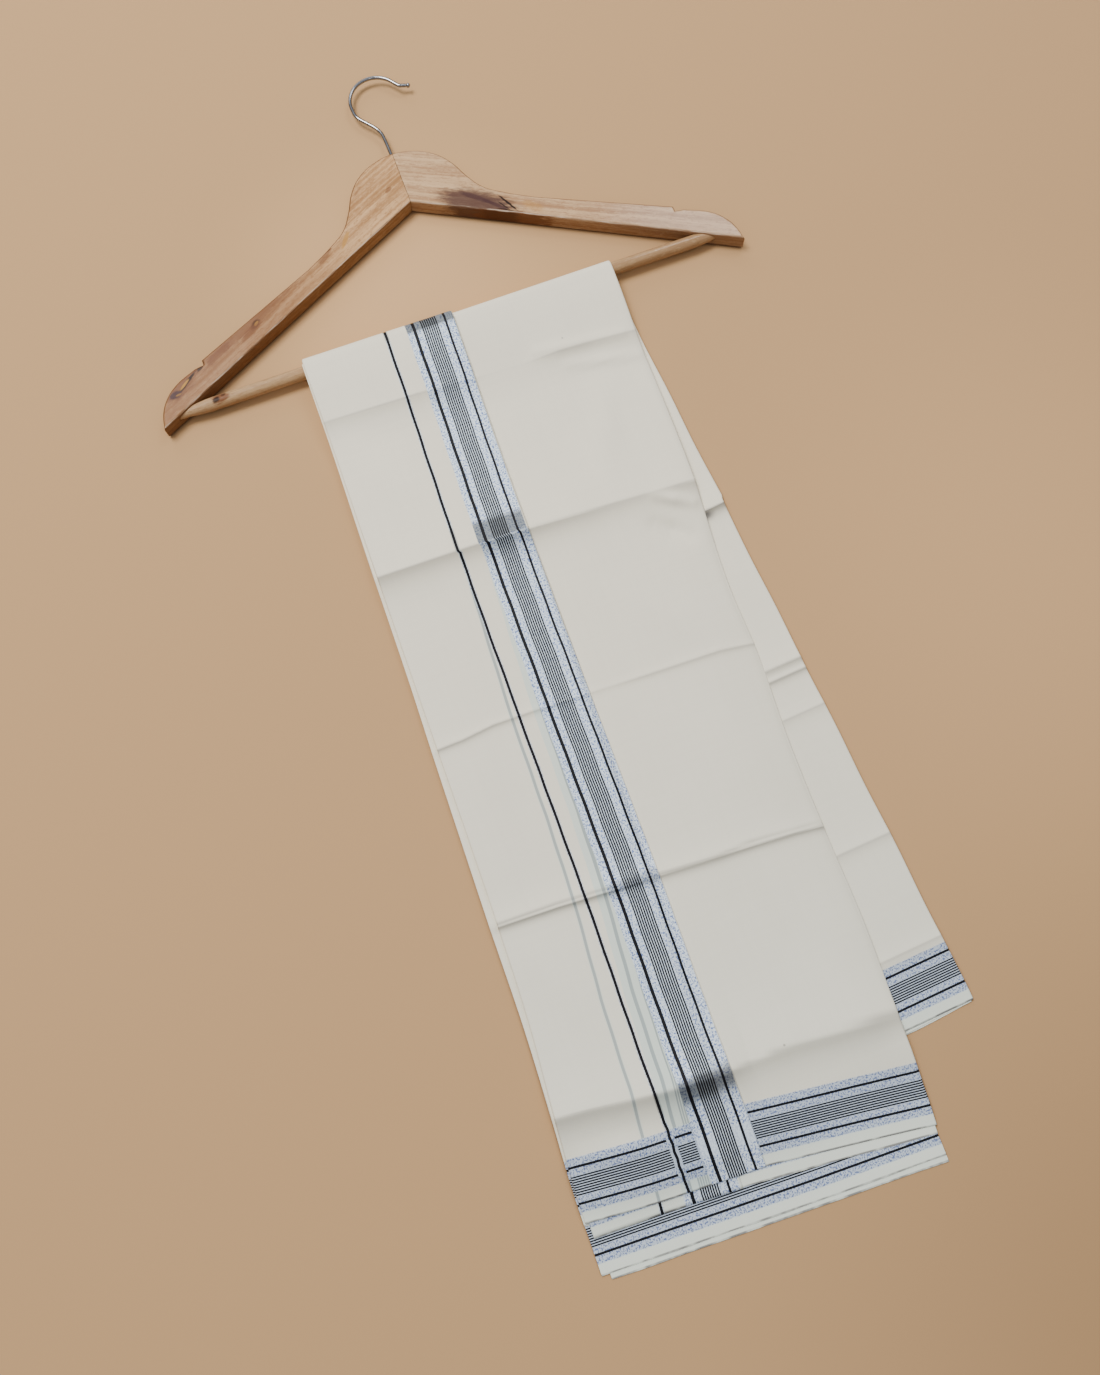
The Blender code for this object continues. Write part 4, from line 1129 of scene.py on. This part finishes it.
varnish = {
    "roughness": (0.40, 0.60), "dullSide": 0.15, "coatRoughness": 0.16, "specular": 0.12,
    "coat": (0.06, 0.20, 0.06, 0.60),      # from this far along to this far, the coat grows from this to this
    "grainBump": 0.5, "grainHeight": 0.0003,
    # painted shade down the sides and the outer edge, and a painted highlight along the inner edge: their
    # depths and reaches
    "sideShadeDepth": 0.00022, "outerShade": (0.006, 0.012, 1.9), "paintedHighlightEdge": (0.0017, 0.0009), "paintedHighlightDepth": 0.0008,
}


def buildWoodMaterial(name, grain, mark, wood):
    material, tree, finish = newMaterial(name)
    place = tree.nodes.new("ShaderNodeTexCoord").outputs["Object"]
    out = useGroup(tree, grain, Place=place, Angle=math.radians(wood["grain"]))
    dark, light, v = wood["dark"], wood["light"], varnish
    base = blendColour(tree, ramp(tree, out["Tone"], 0.37, 0.63), dark, light)
    base = blendColour(tree, ramp(tree, out["Pores"], 0.56, 0.72, 0.0, 0.55), base, dark)
    base = blendColour(tree, ramp(tree, out["Specks"], 0.52, 0.64, 0.0, 0.60), base, dark)
    base = blendColour(tree, ramp(tree, out["Specks"], 0.36, 0.47, 0.45, 0.0), base, light)
    x, y, z = splitVector(tree, place)
    tip, middle, most = wood["reddens"]     # redder towards the tip
    base = blendColour(tree, ramp(tree, x, tip, middle, most, 0.0), base, woodColours["red"])
    flat = scaled(tree, place, (1, 1, 0))
    for across, up, halfLong, halfWide, turn, colour, strength in wood["marks"]:
        mask = useGroup(tree, mark, Place=flat, Centre=(across, up, 0.0), Turn=float(turn), Fray=out["Fray"],
                        **{"Half Length": halfLong, "Half Width": halfWide,
                           "Rough": 1.5 if colour == "red" else 0.8})["Mask"]
        base = blendColour(tree, times(tree, mask, strength), base, woodColours[colour])
    # painted shade down the sides, stronger along the outer edge; a painted highlight along the inner edge,
    # broken by the pores
    top = hanger["thickness"]
    side = ramp(tree, z, top - 0.00001, top - v["sideShadeDepth"], 0.0, wood["side"])
    reach = times(tree, calculate(tree, "ABSOLUTE", x), hanger["slope"])
    fromFoot = minus(tree, plus(tree, y, reach), layout["barY"] + hanger["mitreFoot"])
    outerFrom, outerTo, outerMore = v["outerShade"]
    outer = ramp(tree, fromFoot, outerFrom, outerTo, 1.0, outerMore)
    base = blendColour(tree, times(tree, side, outer, clamp=True), base, woodColours["side"])
    if wood["side"]:
        paintedLighting = times(tree, ramp(tree, fromFoot, *v["paintedHighlightEdge"]),
                     ramp(tree, z, top - v["paintedHighlightDepth"], top - 0.0003))
        paintedLighting = times(tree, paintedLighting, ramp(tree, out["Pores"], 0.42, 0.56, 0.70, 0.05))
        base = blendColour(tree, paintedLighting, base, woodColours["paintedLighting"])
    join(tree, finish["Base Color"], base)
    dull = times(tree, side, v["dullSide"])
    rough = ramp(tree, out["Fray"], 0.3, 0.7, *v["roughness"], "LINEAR")
    join(tree, finish["Roughness"], plus(tree, rough, dull))
    join(tree, finish["Coat Weight"], minus(tree, ramp(tree, x, *v["coat"]), dull))
    finish["Coat Roughness"].default_value = v["coatRoughness"]
    finish["Specular IOR Level"].default_value = v["specular"]
    bump = bumpOf(tree, plus(tree, out["Pores"], out["Fray"]), v["grainBump"], v["grainHeight"])
    join(tree, finish["Normal"], bump.outputs[0])
    return material


chromeLook = {"dark": (0.24, 0.24, 0.25, 1), "light": (0.38, 0.38, 0.39, 1), "roughness": (0.07, 0.16)}


def buildChromeMaterial():
    material, tree, finish = newMaterial("chromedWire")
    haze = noiseOf(tree, tree.nodes.new("ShaderNodeTexCoord").outputs["Object"], 260.0, 3.0, 0.6)
    join(tree, finish["Base Color"], blendColour(tree, haze, chromeLook["dark"], chromeLook["light"]))
    join(tree, finish["Roughness"], ramp(tree, haze, 0.35, 0.7, *chromeLook["roughness"], "LINEAR"))
    finish["Metallic"].default_value = 1.0
    return material


# The hanger.
hanger = {
    "thickness": 0.0126, "rounding": 0.0016, "headTop": 0.1490, "mitreFoot": 0.1047, "slope": 0.5116,
    "barRadius": 0.0048, "taperFrom": 0.1900, "tenonFrom": 0.2060, "tenonRadius": 0.0033, "barEnd": 0.2130,
    "gap": 0.0003,            # between the pieces that fit into each other
    "boreDepth": 0.060, "boreAbove": 0.006,      # the middle of the hook's bore, above the head's top
    "wire": 0.0014, "hookCentre": (0.0040, 0.2030), "hookRadius": 0.0203, "hookTurn": (187.0, 38.0),
    "ball": 1.25, "wireSides": 24, "barSides": 64, "socketSides": 48,
}
armOutline = (   # across, up, True on a curve: the right half, from the head round to the inner corner
    (-0.0120, 0.1474, False), (0.0000, 0.1490, True), (0.0150, 0.1464, True), (0.0300, 0.1385, True),
    (0.0402, 0.1265, True), (0.0472, 0.1120, True), (0.0555, 0.0990, True), (0.0680, 0.0895, True),
    (0.0900, 0.0767, False), (0.1845, 0.0332, False), (0.1846, 0.0292, False), (0.1912, 0.0282, False),
    (0.2080, 0.0203, True), (0.2172, 0.0118, True), (0.2229, 0.0010, True), (0.2250, -0.0104, False),
    (0.0000, 0.1047, False), (-0.0120, 0.1110, False),
)


def armBlank(side):
    curve = bpy.data.curves.new("armBlank", "CURVE")
    curve.dimensions = "2D"
    curve.fill_mode = "BOTH"
    curve.extrude = hanger["thickness"] / 2 - hanger["rounding"]
    curve.bevel_depth = hanger["rounding"]
    curve.bevel_resolution = 4
    curve.offset = -hanger["rounding"]
    curve.resolution_u = 10
    spline = curve.splines.new("BEZIER")
    spline.bezier_points.add(len(armOutline) - 1)
    spline.use_cyclic_u = True
    for knot, (across, up, soft) in zip(spline.bezier_points, armOutline):
        knot.co = (across, up, 0.0)
        knot.handle_left_type = knot.handle_right_type = "AUTO" if soft else "VECTOR"
    guide = makeObject("armBlank", curve)
    bpy.context.view_layer.update()
    mesh = bpy.data.meshes.new_from_object(guide.evaluated_get(bpy.context.evaluated_depsgraph_get()))
    bpy.data.objects.remove(guide)
    bm = bmesh.new()
    bm.from_mesh(mesh)
    bmesh.ops.remove_doubles(bm, verts=bm.verts[:], dist=0.00001)
    bmesh.ops.transform(bm, matrix=Matrix.Diagonal((side, 1, 1, 1)), verts=bm.verts[:])
    bmesh.ops.translate(bm, verts=bm.verts[:], vec=(0.0, layout["barY"], hanger["thickness"] / 2))
    bmesh.ops.recalc_face_normals(bm, faces=bm.faces[:])
    bm.to_mesh(mesh)
    bm.free()
    return makeObject("armBlank", mesh)


# The bar, turned about its skewed axis, grown by a clearance for the sockets.
def barMesh(name, grow, sides):
    h = hanger
    half = [(0.10, h["barRadius"]), (0.118, h["barRadius"]), (h["taperFrom"], h["barRadius"]),
            (0.1985, h["barRadius"] * 0.86), (h["tenonFrom"], h["tenonRadius"]),
            (h["barEnd"] - 0.0008, h["tenonRadius"]), (h["barEnd"] - 0.0002, h["tenonRadius"] - 0.0003),
            (h["barEnd"], h["tenonRadius"] - 0.0008)]
    if grow:
        half = [(0.10, h["barRadius"]), (h["taperFrom"], h["barRadius"]), (h["tenonFrom"], h["tenonRadius"]),
                (h["barEnd"], h["tenonRadius"])]
    half = [(along + (grow if along > h["tenonFrom"] else 0), radius + grow) for along, radius in half]
    profile = [(-along, radius) for along, radius in reversed(half)] + half
    bm = bmesh.new()
    rings = []
    for along, radius in profile:
        rings.append([bm.verts.new((along, radius * math.cos(2 * math.pi * k / sides),
                                    radius * math.sin(2 * math.pi * k / sides))) for k in range(sides)])
    for lower, upper in zip(rings, rings[1:]):
        for k in range(sides):
            bm.faces.new((lower[k], lower[(k + 1) % sides], upper[(k + 1) % sides], upper[k]))
    bm.faces.new(rings[0][::-1])
    bm.faces.new(rings[-1])
    bmesh.ops.recalc_face_normals(bm, faces=bm.faces[:])
    turn = Matrix.Rotation(math.atan(layout["barSkew"]), 4, "Z")
    place = Matrix.Translation((0.0, layout["barY"] + float(barLine(0.0)), layout["barHeight"]))
    bmesh.ops.transform(bm, matrix=place @ turn, verts=bm.verts[:])
    mesh = bpy.data.meshes.new(name)
    bm.to_mesh(mesh)
    bm.free()
    mesh.polygons.foreach_set("use_smooth", [True] * len(mesh.polygons))
    mesh.set_sharp_from_angle(angle=math.radians(40))
    return mesh


def boreMesh():
    bm = bmesh.new()
    turn = Matrix.Rotation(math.radians(90), 4, "X")
    up = layout["barY"] + hanger["headTop"] + hanger["boreAbove"]
    place = Matrix.Translation((0.0, up, hanger["thickness"] / 2))
    bmesh.ops.create_cone(bm, cap_ends=True, segments=32, radius1=hanger["wire"] + hanger["gap"],
                          radius2=hanger["wire"] + hanger["gap"], depth=hanger["boreDepth"],
                          matrix=place @ turn)
    mesh = bpy.data.meshes.new("hookBore")
    bm.to_mesh(mesh)
    bm.free()
    return mesh


def buildArm(name, side):
    blank = armBlank(side)
    tools = [makeObject("socket", barMesh("socket", hanger["gap"], hanger["socketSides"])),
             makeObject("bore", boreMesh())]
    for tool in tools:
        cut = blank.modifiers.new("cut", "BOOLEAN")
        cut.operation = "DIFFERENCE"
        cut.object = tool
    arm = frozen(blank, name)
    for tool in tools:
        bpy.data.objects.remove(tool)
    bm = bmesh.new()
    bm.from_mesh(arm.data)
    parted = bmesh.ops.bisect_plane(bm, geom=bm.verts[:] + bm.edges[:] + bm.faces[:],
                                    plane_co=(side * hanger["gap"] / 2, 0.0, 0.0), plane_no=(side, 0.0, 0.0),
                                    clear_inner=True)
    rim = [e for e in parted["geom_cut"] if isinstance(e, bmesh.types.BMEdge)]
    bmesh.ops.holes_fill(bm, edges=rim, sides=0)
    bmesh.ops.triangulate(bm, faces=bm.faces[:])
    bmesh.ops.remove_doubles(bm, verts=bm.verts[:], dist=0.000002)
    bmesh.ops.recalc_face_normals(bm, faces=bm.faces[:])
    for face in bm.faces:
        face.smooth = True
    for edge in bm.edges:
        if len(edge.link_faces) == 2:
            a, b = (abs(f.normal.z) > 0.9995 for f in edge.link_faces)
            edge.smooth = a == b and edge.calc_face_angle(0.0) < math.radians(32)
    bm.to_mesh(arm.data)
    bm.free()
    return arm


hookStem = ((0.0, 0.1265), (-0.0002, 0.1500), (-0.0008, 0.1688), (-0.0019, 0.1745), (-0.0045, 0.1796),
            (-0.0085, 0.1847), (-0.0125, 0.1896), (-0.0146, 0.1928), (-0.0158, 0.1962))
hookTail = ((0.0226, 0.2121), (0.0247, 0.2096), (0.0272, 0.2086), (0.0296, 0.2078))


# Points of a smooth curve through the given ones.
def softened(points, pieces):
    ends = [2 * points[0] - points[1]] + points + [2 * points[-1] - points[-2]]
    out = []
    for a, b, c, d in zip(ends, ends[1:], ends[2:], ends[3:]):
        for k in range(pieces):
            t = k / pieces
            out.append(0.5 * ((2 * b) + (c - a) * t + (2 * a - 5 * b + 4 * c - d) * t * t
                              + (3 * b - a - 3 * c + d) * t ** 3))
    return out + [points[-1]]


# A round rod along a path: the path's points carry how thick it is there.
def buildRodTree():
    tree = bpy.data.node_groups.new("rodAlongPath", "GeometryNodeTree")
    tree.interface.new_socket("Geometry", in_out="INPUT", socket_type="NodeSocketGeometry")
    for label, kind, value in (("Radius", "NodeSocketFloat", 0.001), ("Sides", "NodeSocketInt", 24)):
        tree.interface.new_socket(label, in_out="INPUT", socket_type=kind).default_value = value
    tree.interface.new_socket("Finish", in_out="INPUT", socket_type="NodeSocketMaterial")
    tree.interface.new_socket("Geometry", in_out="OUTPUT", socket_type="NodeSocketGeometry")
    start, end = tree.nodes.new("NodeGroupInput"), tree.nodes.new("NodeGroupOutput")
    path = tree.nodes.new("GeometryNodeMeshToCurve")
    ring = tree.nodes.new("GeometryNodeCurvePrimitiveCircle")
    thick = tree.nodes.new("GeometryNodeInputNamedAttribute")
    scale = tree.nodes.new("ShaderNodeMath")
    sweep = tree.nodes.new("GeometryNodeCurveToMesh")
    real = tree.nodes.new("GeometryNodeRealizeInstances")
    finish = tree.nodes.new("GeometryNodeSetMaterial")
    thick.data_type = "FLOAT"
    thick.inputs["Name"].default_value = "thick"
    scale.operation = "MULTIPLY"
    ring.inputs["Radius"].default_value = 1.0
    sweep.inputs["Fill Caps"].default_value = True
    given = start.outputs
    for a, b in ((given["Geometry"], path.inputs["Mesh"]), (given["Sides"], ring.inputs["Resolution"]),
                 (given["Radius"], scale.inputs[0]), (thick.outputs["Attribute"], scale.inputs[1]),
                 (path.outputs["Curve"], sweep.inputs["Curve"]),
                 (ring.outputs["Curve"], sweep.inputs["Profile Curve"]),
                 (scale.outputs[0], sweep.inputs["Scale"]), (sweep.outputs["Mesh"], real.inputs["Geometry"]),
                 (real.outputs["Geometry"], finish.inputs["Geometry"]),
                 (given["Finish"], finish.inputs["Material"]),
                 (finish.outputs["Geometry"], end.inputs["Geometry"])):
        tree.links.new(a, b)
    return tree


def rodAlong(name, route, radii, radius, sides, finish):
    mesh = bpy.data.meshes.new(name)
    mesh.from_pydata([tuple(p) for p in route], [(k, k + 1) for k in range(len(route) - 1)], [])
    mesh.attributes.new("thick", "FLOAT", "POINT").data.foreach_set("value", radii)
    item = makeObject(name, mesh)
    rod = item.modifiers.new("rod", "NODES")
    rod.node_group = buildRodTree()
    sockets = {i.name: i.identifier for i in rod.node_group.interface.items_tree if i.in_out == "INPUT"}
    for label, value in (("Radius", radius), ("Sides", sides), ("Finish", finish)):
        rod[sockets[label]] = value
    item = frozen(item, name)
    item.data.polygons.foreach_set("use_smooth", [True] * len(item.data.polygons))
    return item


def buildHook(finish):
    centre, radius, wire = hanger["hookCentre"], hanger["hookRadius"], hanger["wire"]
    arc = [Vector((centre[0] + radius * math.cos(a), centre[1] + radius * math.sin(a), 0))
           for a in np.radians(np.linspace(*hanger["hookTurn"], 21))]
    route = softened([Vector((*p, 0)) for p in hookStem] + arc + [Vector((*p, 0)) for p in hookTail], 4)
    radii = [1.0] * len(route)
    last, ahead = route[-1], (route[-1] - route[-2]).normalized()
    ball = wire * hanger["ball"]
    for k in range(13):      # a neck, and a small ball on the end of the wire
        along = ball * (-0.85 + 1.83 * k / 12)
        route.append(last + ahead * (along + ball * 1.15))
        radii.append(math.sqrt(max(ball ** 2 - along ** 2, (0.16 * ball) ** 2)) / wire)
    lift = Vector((0, layout["barY"], hanger["thickness"] / 2))
    return rodAlong("hangerHookWire", [p + lift for p in route], radii, wire, hanger["wireSides"], finish)


# Build it all.
borderGroup = buildBorderGroup(buildLineGroup(), buildLineSetGroup())
cotton = buildClothMaterial(
    "dhotiCotton", {"border": borderGroup, "weave": buildWeaveGroup(), "zari": buildZariGroup()})
grain, mark = buildGrainGroup(), buildMarkGroup()
leftWood = buildWoodMaterial("varnishedLeftArm", grain, mark, armWood["left"])
rightWood = buildWoodMaterial("varnishedRightArm", grain, mark, armWood["right"])
barWood = buildWoodMaterial("varnishedBar", grain, mark, armWood["bar"])
chrome = buildChromeMaterial()
print("finishes made")


def finishPiece(item, material, slotName, *nodes):
    item.data.materials.clear()
    item.data.materials.append(material)
    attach(item, "root")
    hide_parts(*nodes)
    return item


topLeaf = finishPiece(buildTopLeaf(), cotton, "cloth", "front_top_leaf", "bar_fold")
secondLeaf = finishPiece(buildSecondLeaf(), cotton, "cloth", "front_second_leaf")
thirdLeaf = finishPiece(buildThirdLeaf(), cotton, "cloth", "front_third_leaf", "bar_fold")
innerLeaves = finishPiece(buildInnerLeaves(), cotton, "cloth", "front_hidden_leaves", "bar_fold")
backTopLeaf = finishPiece(buildBackTopLeaf(), cotton, "cloth", "back_top_leaf")
backInnerLeaves = finishPiece(buildBackInnerLeaves(), cotton, "cloth", "back_hidden_leaves")
cloth = (topLeaf, secondLeaf, thirdLeaf, innerLeaves, backTopLeaf, backInnerLeaves)
print("cloth laid:", sum(len(item.data.polygons) for item in cloth), "faces")

finishPiece(buildArm("hangerLeftArm", -1), leftWood, "wood", "hanger_wood_left")
finishPiece(buildArm("hangerRightArm", 1), rightWood, "wood", "hanger_wood_right")
dowel = makeObject("hangerBarDowel", barMesh("hangerBarDowel", 0.0, hanger["barSides"]))
finishPiece(dowel, barWood, "wood", "hanger_bar")
finishPiece(buildHook(chrome), chrome, "hook", "hanger_hook")
print("hanger made")

# Floor, light and camera.
studio = {
    "floorColour": (0.54, 0.325, 0.155, 1), "floorDarker": 0.97, "floorRoughness": 0.9, "floorSpecular": 0.2,
    "contactShadowColour": (0.10, 0.045, 0.02, 1), "contactShadowDark": 0.75, "contactShadowReach": 0.0035,
    # painted pools of light and shade on the floor, paler or darker: across, along, reach, tone
    "paintedFloorLight": ((-0.03, 0.262, 0.17, 1.24), (0.33, -0.09, 0.30, 1.13), (0.22, -0.60, 0.38, 0.79)),
    # name, place, what it points at, size, watts, colour
    "lights": (
        ("windowLight", (-0.62, 1.00, 2.10), (0, 0.05, 0), (1.0, 0.9), 54, (1.0, 0.985, 0.955)),
        ("lowWindow", (-0.30, 2.45, 1.25), (0, -0.05, 0), (1.6, 0.7), 9, (0.99, 0.99, 1.0)),
        ("sideWindow", (0.66, 0.93, 1.10), (0.2, 0.225, 0), (0.36, 0.36), 3.2, (0.97, 0.98, 1.0)),
        ("farLamp", (0.05, -0.75, 1.75), (0, 0.2, 0), (0.30, 0.12), 0.7, (1.0, 0.99, 0.97)),
    ),
    "horizon": (0.06, 0.06, 0.065, 1), "overhead": (0.80, 0.81, 0.84, 1), "roomLight": 0.85,
    "cameraAt": (-0.0848, -0.21755, 0.7443), "cameraTurn": (12.287, 0.0, -20.096), "lens": 36.0,
}


def buildFloor():
    bm = bmesh.new()
    bmesh.ops.create_grid(bm, x_segments=8, y_segments=8, size=2.5)
    mesh = bpy.data.meshes.new("floor")
    bm.to_mesh(mesh)
    bm.free()
    floor = makeObject("floor", mesh)
    material, tree, finish = newMaterial("paleFloor")
    finish["Roughness"].default_value = studio["floorRoughness"]
    finish["Specular IOR Level"].default_value = studio["floorSpecular"]
    place = tree.nodes.new("ShaderNodeTexCoord").outputs["Object"]
    base = studio["floorColour"]
    darker = tuple(v * studio["floorDarker"] for v in base[:3]) + (1,)
    tone = blendColour(tree, noiseOf(tree, place, 1.6), darker, base)
    for x, y, reach, strength in studio["paintedFloorLight"]:
        near = ramp(tree, vectorMath(tree, "DISTANCE", place, (x, y, 0.0)), 0.0, reach, 1.0, 0.0)
        tone = blendColour(tree, near, tone, (strength, strength, strength, 1), "MULTIPLY")
    # a painted contact shadow, darker where cloth or wood comes close to the floor
    close = tree.nodes.new("ShaderNodeAmbientOcclusion")
    close.inputs["Distance"].default_value = studio["contactShadowReach"]
    contactShadow = ramp(tree, close.outputs["AO"], 0.35, 0.95, studio["contactShadowDark"], 0.0)
    join(tree, finish["Base Color"], blendColour(tree, contactShadow, tone, studio["contactShadowColour"]))
    mesh.materials.append(material)
    floor.location.z = -0.0001


def addLight(name, place, target, size, watts, colour):
    lamp = bpy.data.lights.new(name, "AREA")
    lamp.shape = "RECTANGLE"
    lamp.size, lamp.size_y = size
    lamp.energy = watts
    lamp.color = colour
    item = makeObject(name, lamp)
    item.location = place
    item.rotation_euler = (Vector(target) - Vector(place)).to_track_quat("-Z", "Y").to_euler()


# A soft room: light overhead, dim towards the horizon.
def buildWorld():
    world = bpy.data.worlds.new("softRoom")
    bpy.context.scene.world = world
    world.use_nodes = True
    tree = world.node_tree
    height = splitVector(tree, tree.nodes.new("ShaderNodeTexCoord").outputs["Generated"])[2]
    room = tree.nodes["Background"].inputs
    join(tree, room["Color"],
         blendColour(tree, ramp(tree, height, 0.0, 0.9), studio["horizon"], studio["overhead"]))
    room["Strength"].default_value = studio["roomLight"]


buildFloor()
for light in studio["lights"]:
    addLight(*light)
buildWorld()

lens = bpy.data.cameras.new("camera")
lens.sensor_fit = "HORIZONTAL"
lens.sensor_width = 36.0
lens.lens = studio["lens"]
lens.clip_start = 0.01
camera = makeObject("camera", lens)
camera.location = studio["cameraAt"]
camera.rotation_euler = [math.radians(a) for a in studio["cameraTurn"]]
bpy.context.scene.camera = camera
print("floor, light and camera placed")
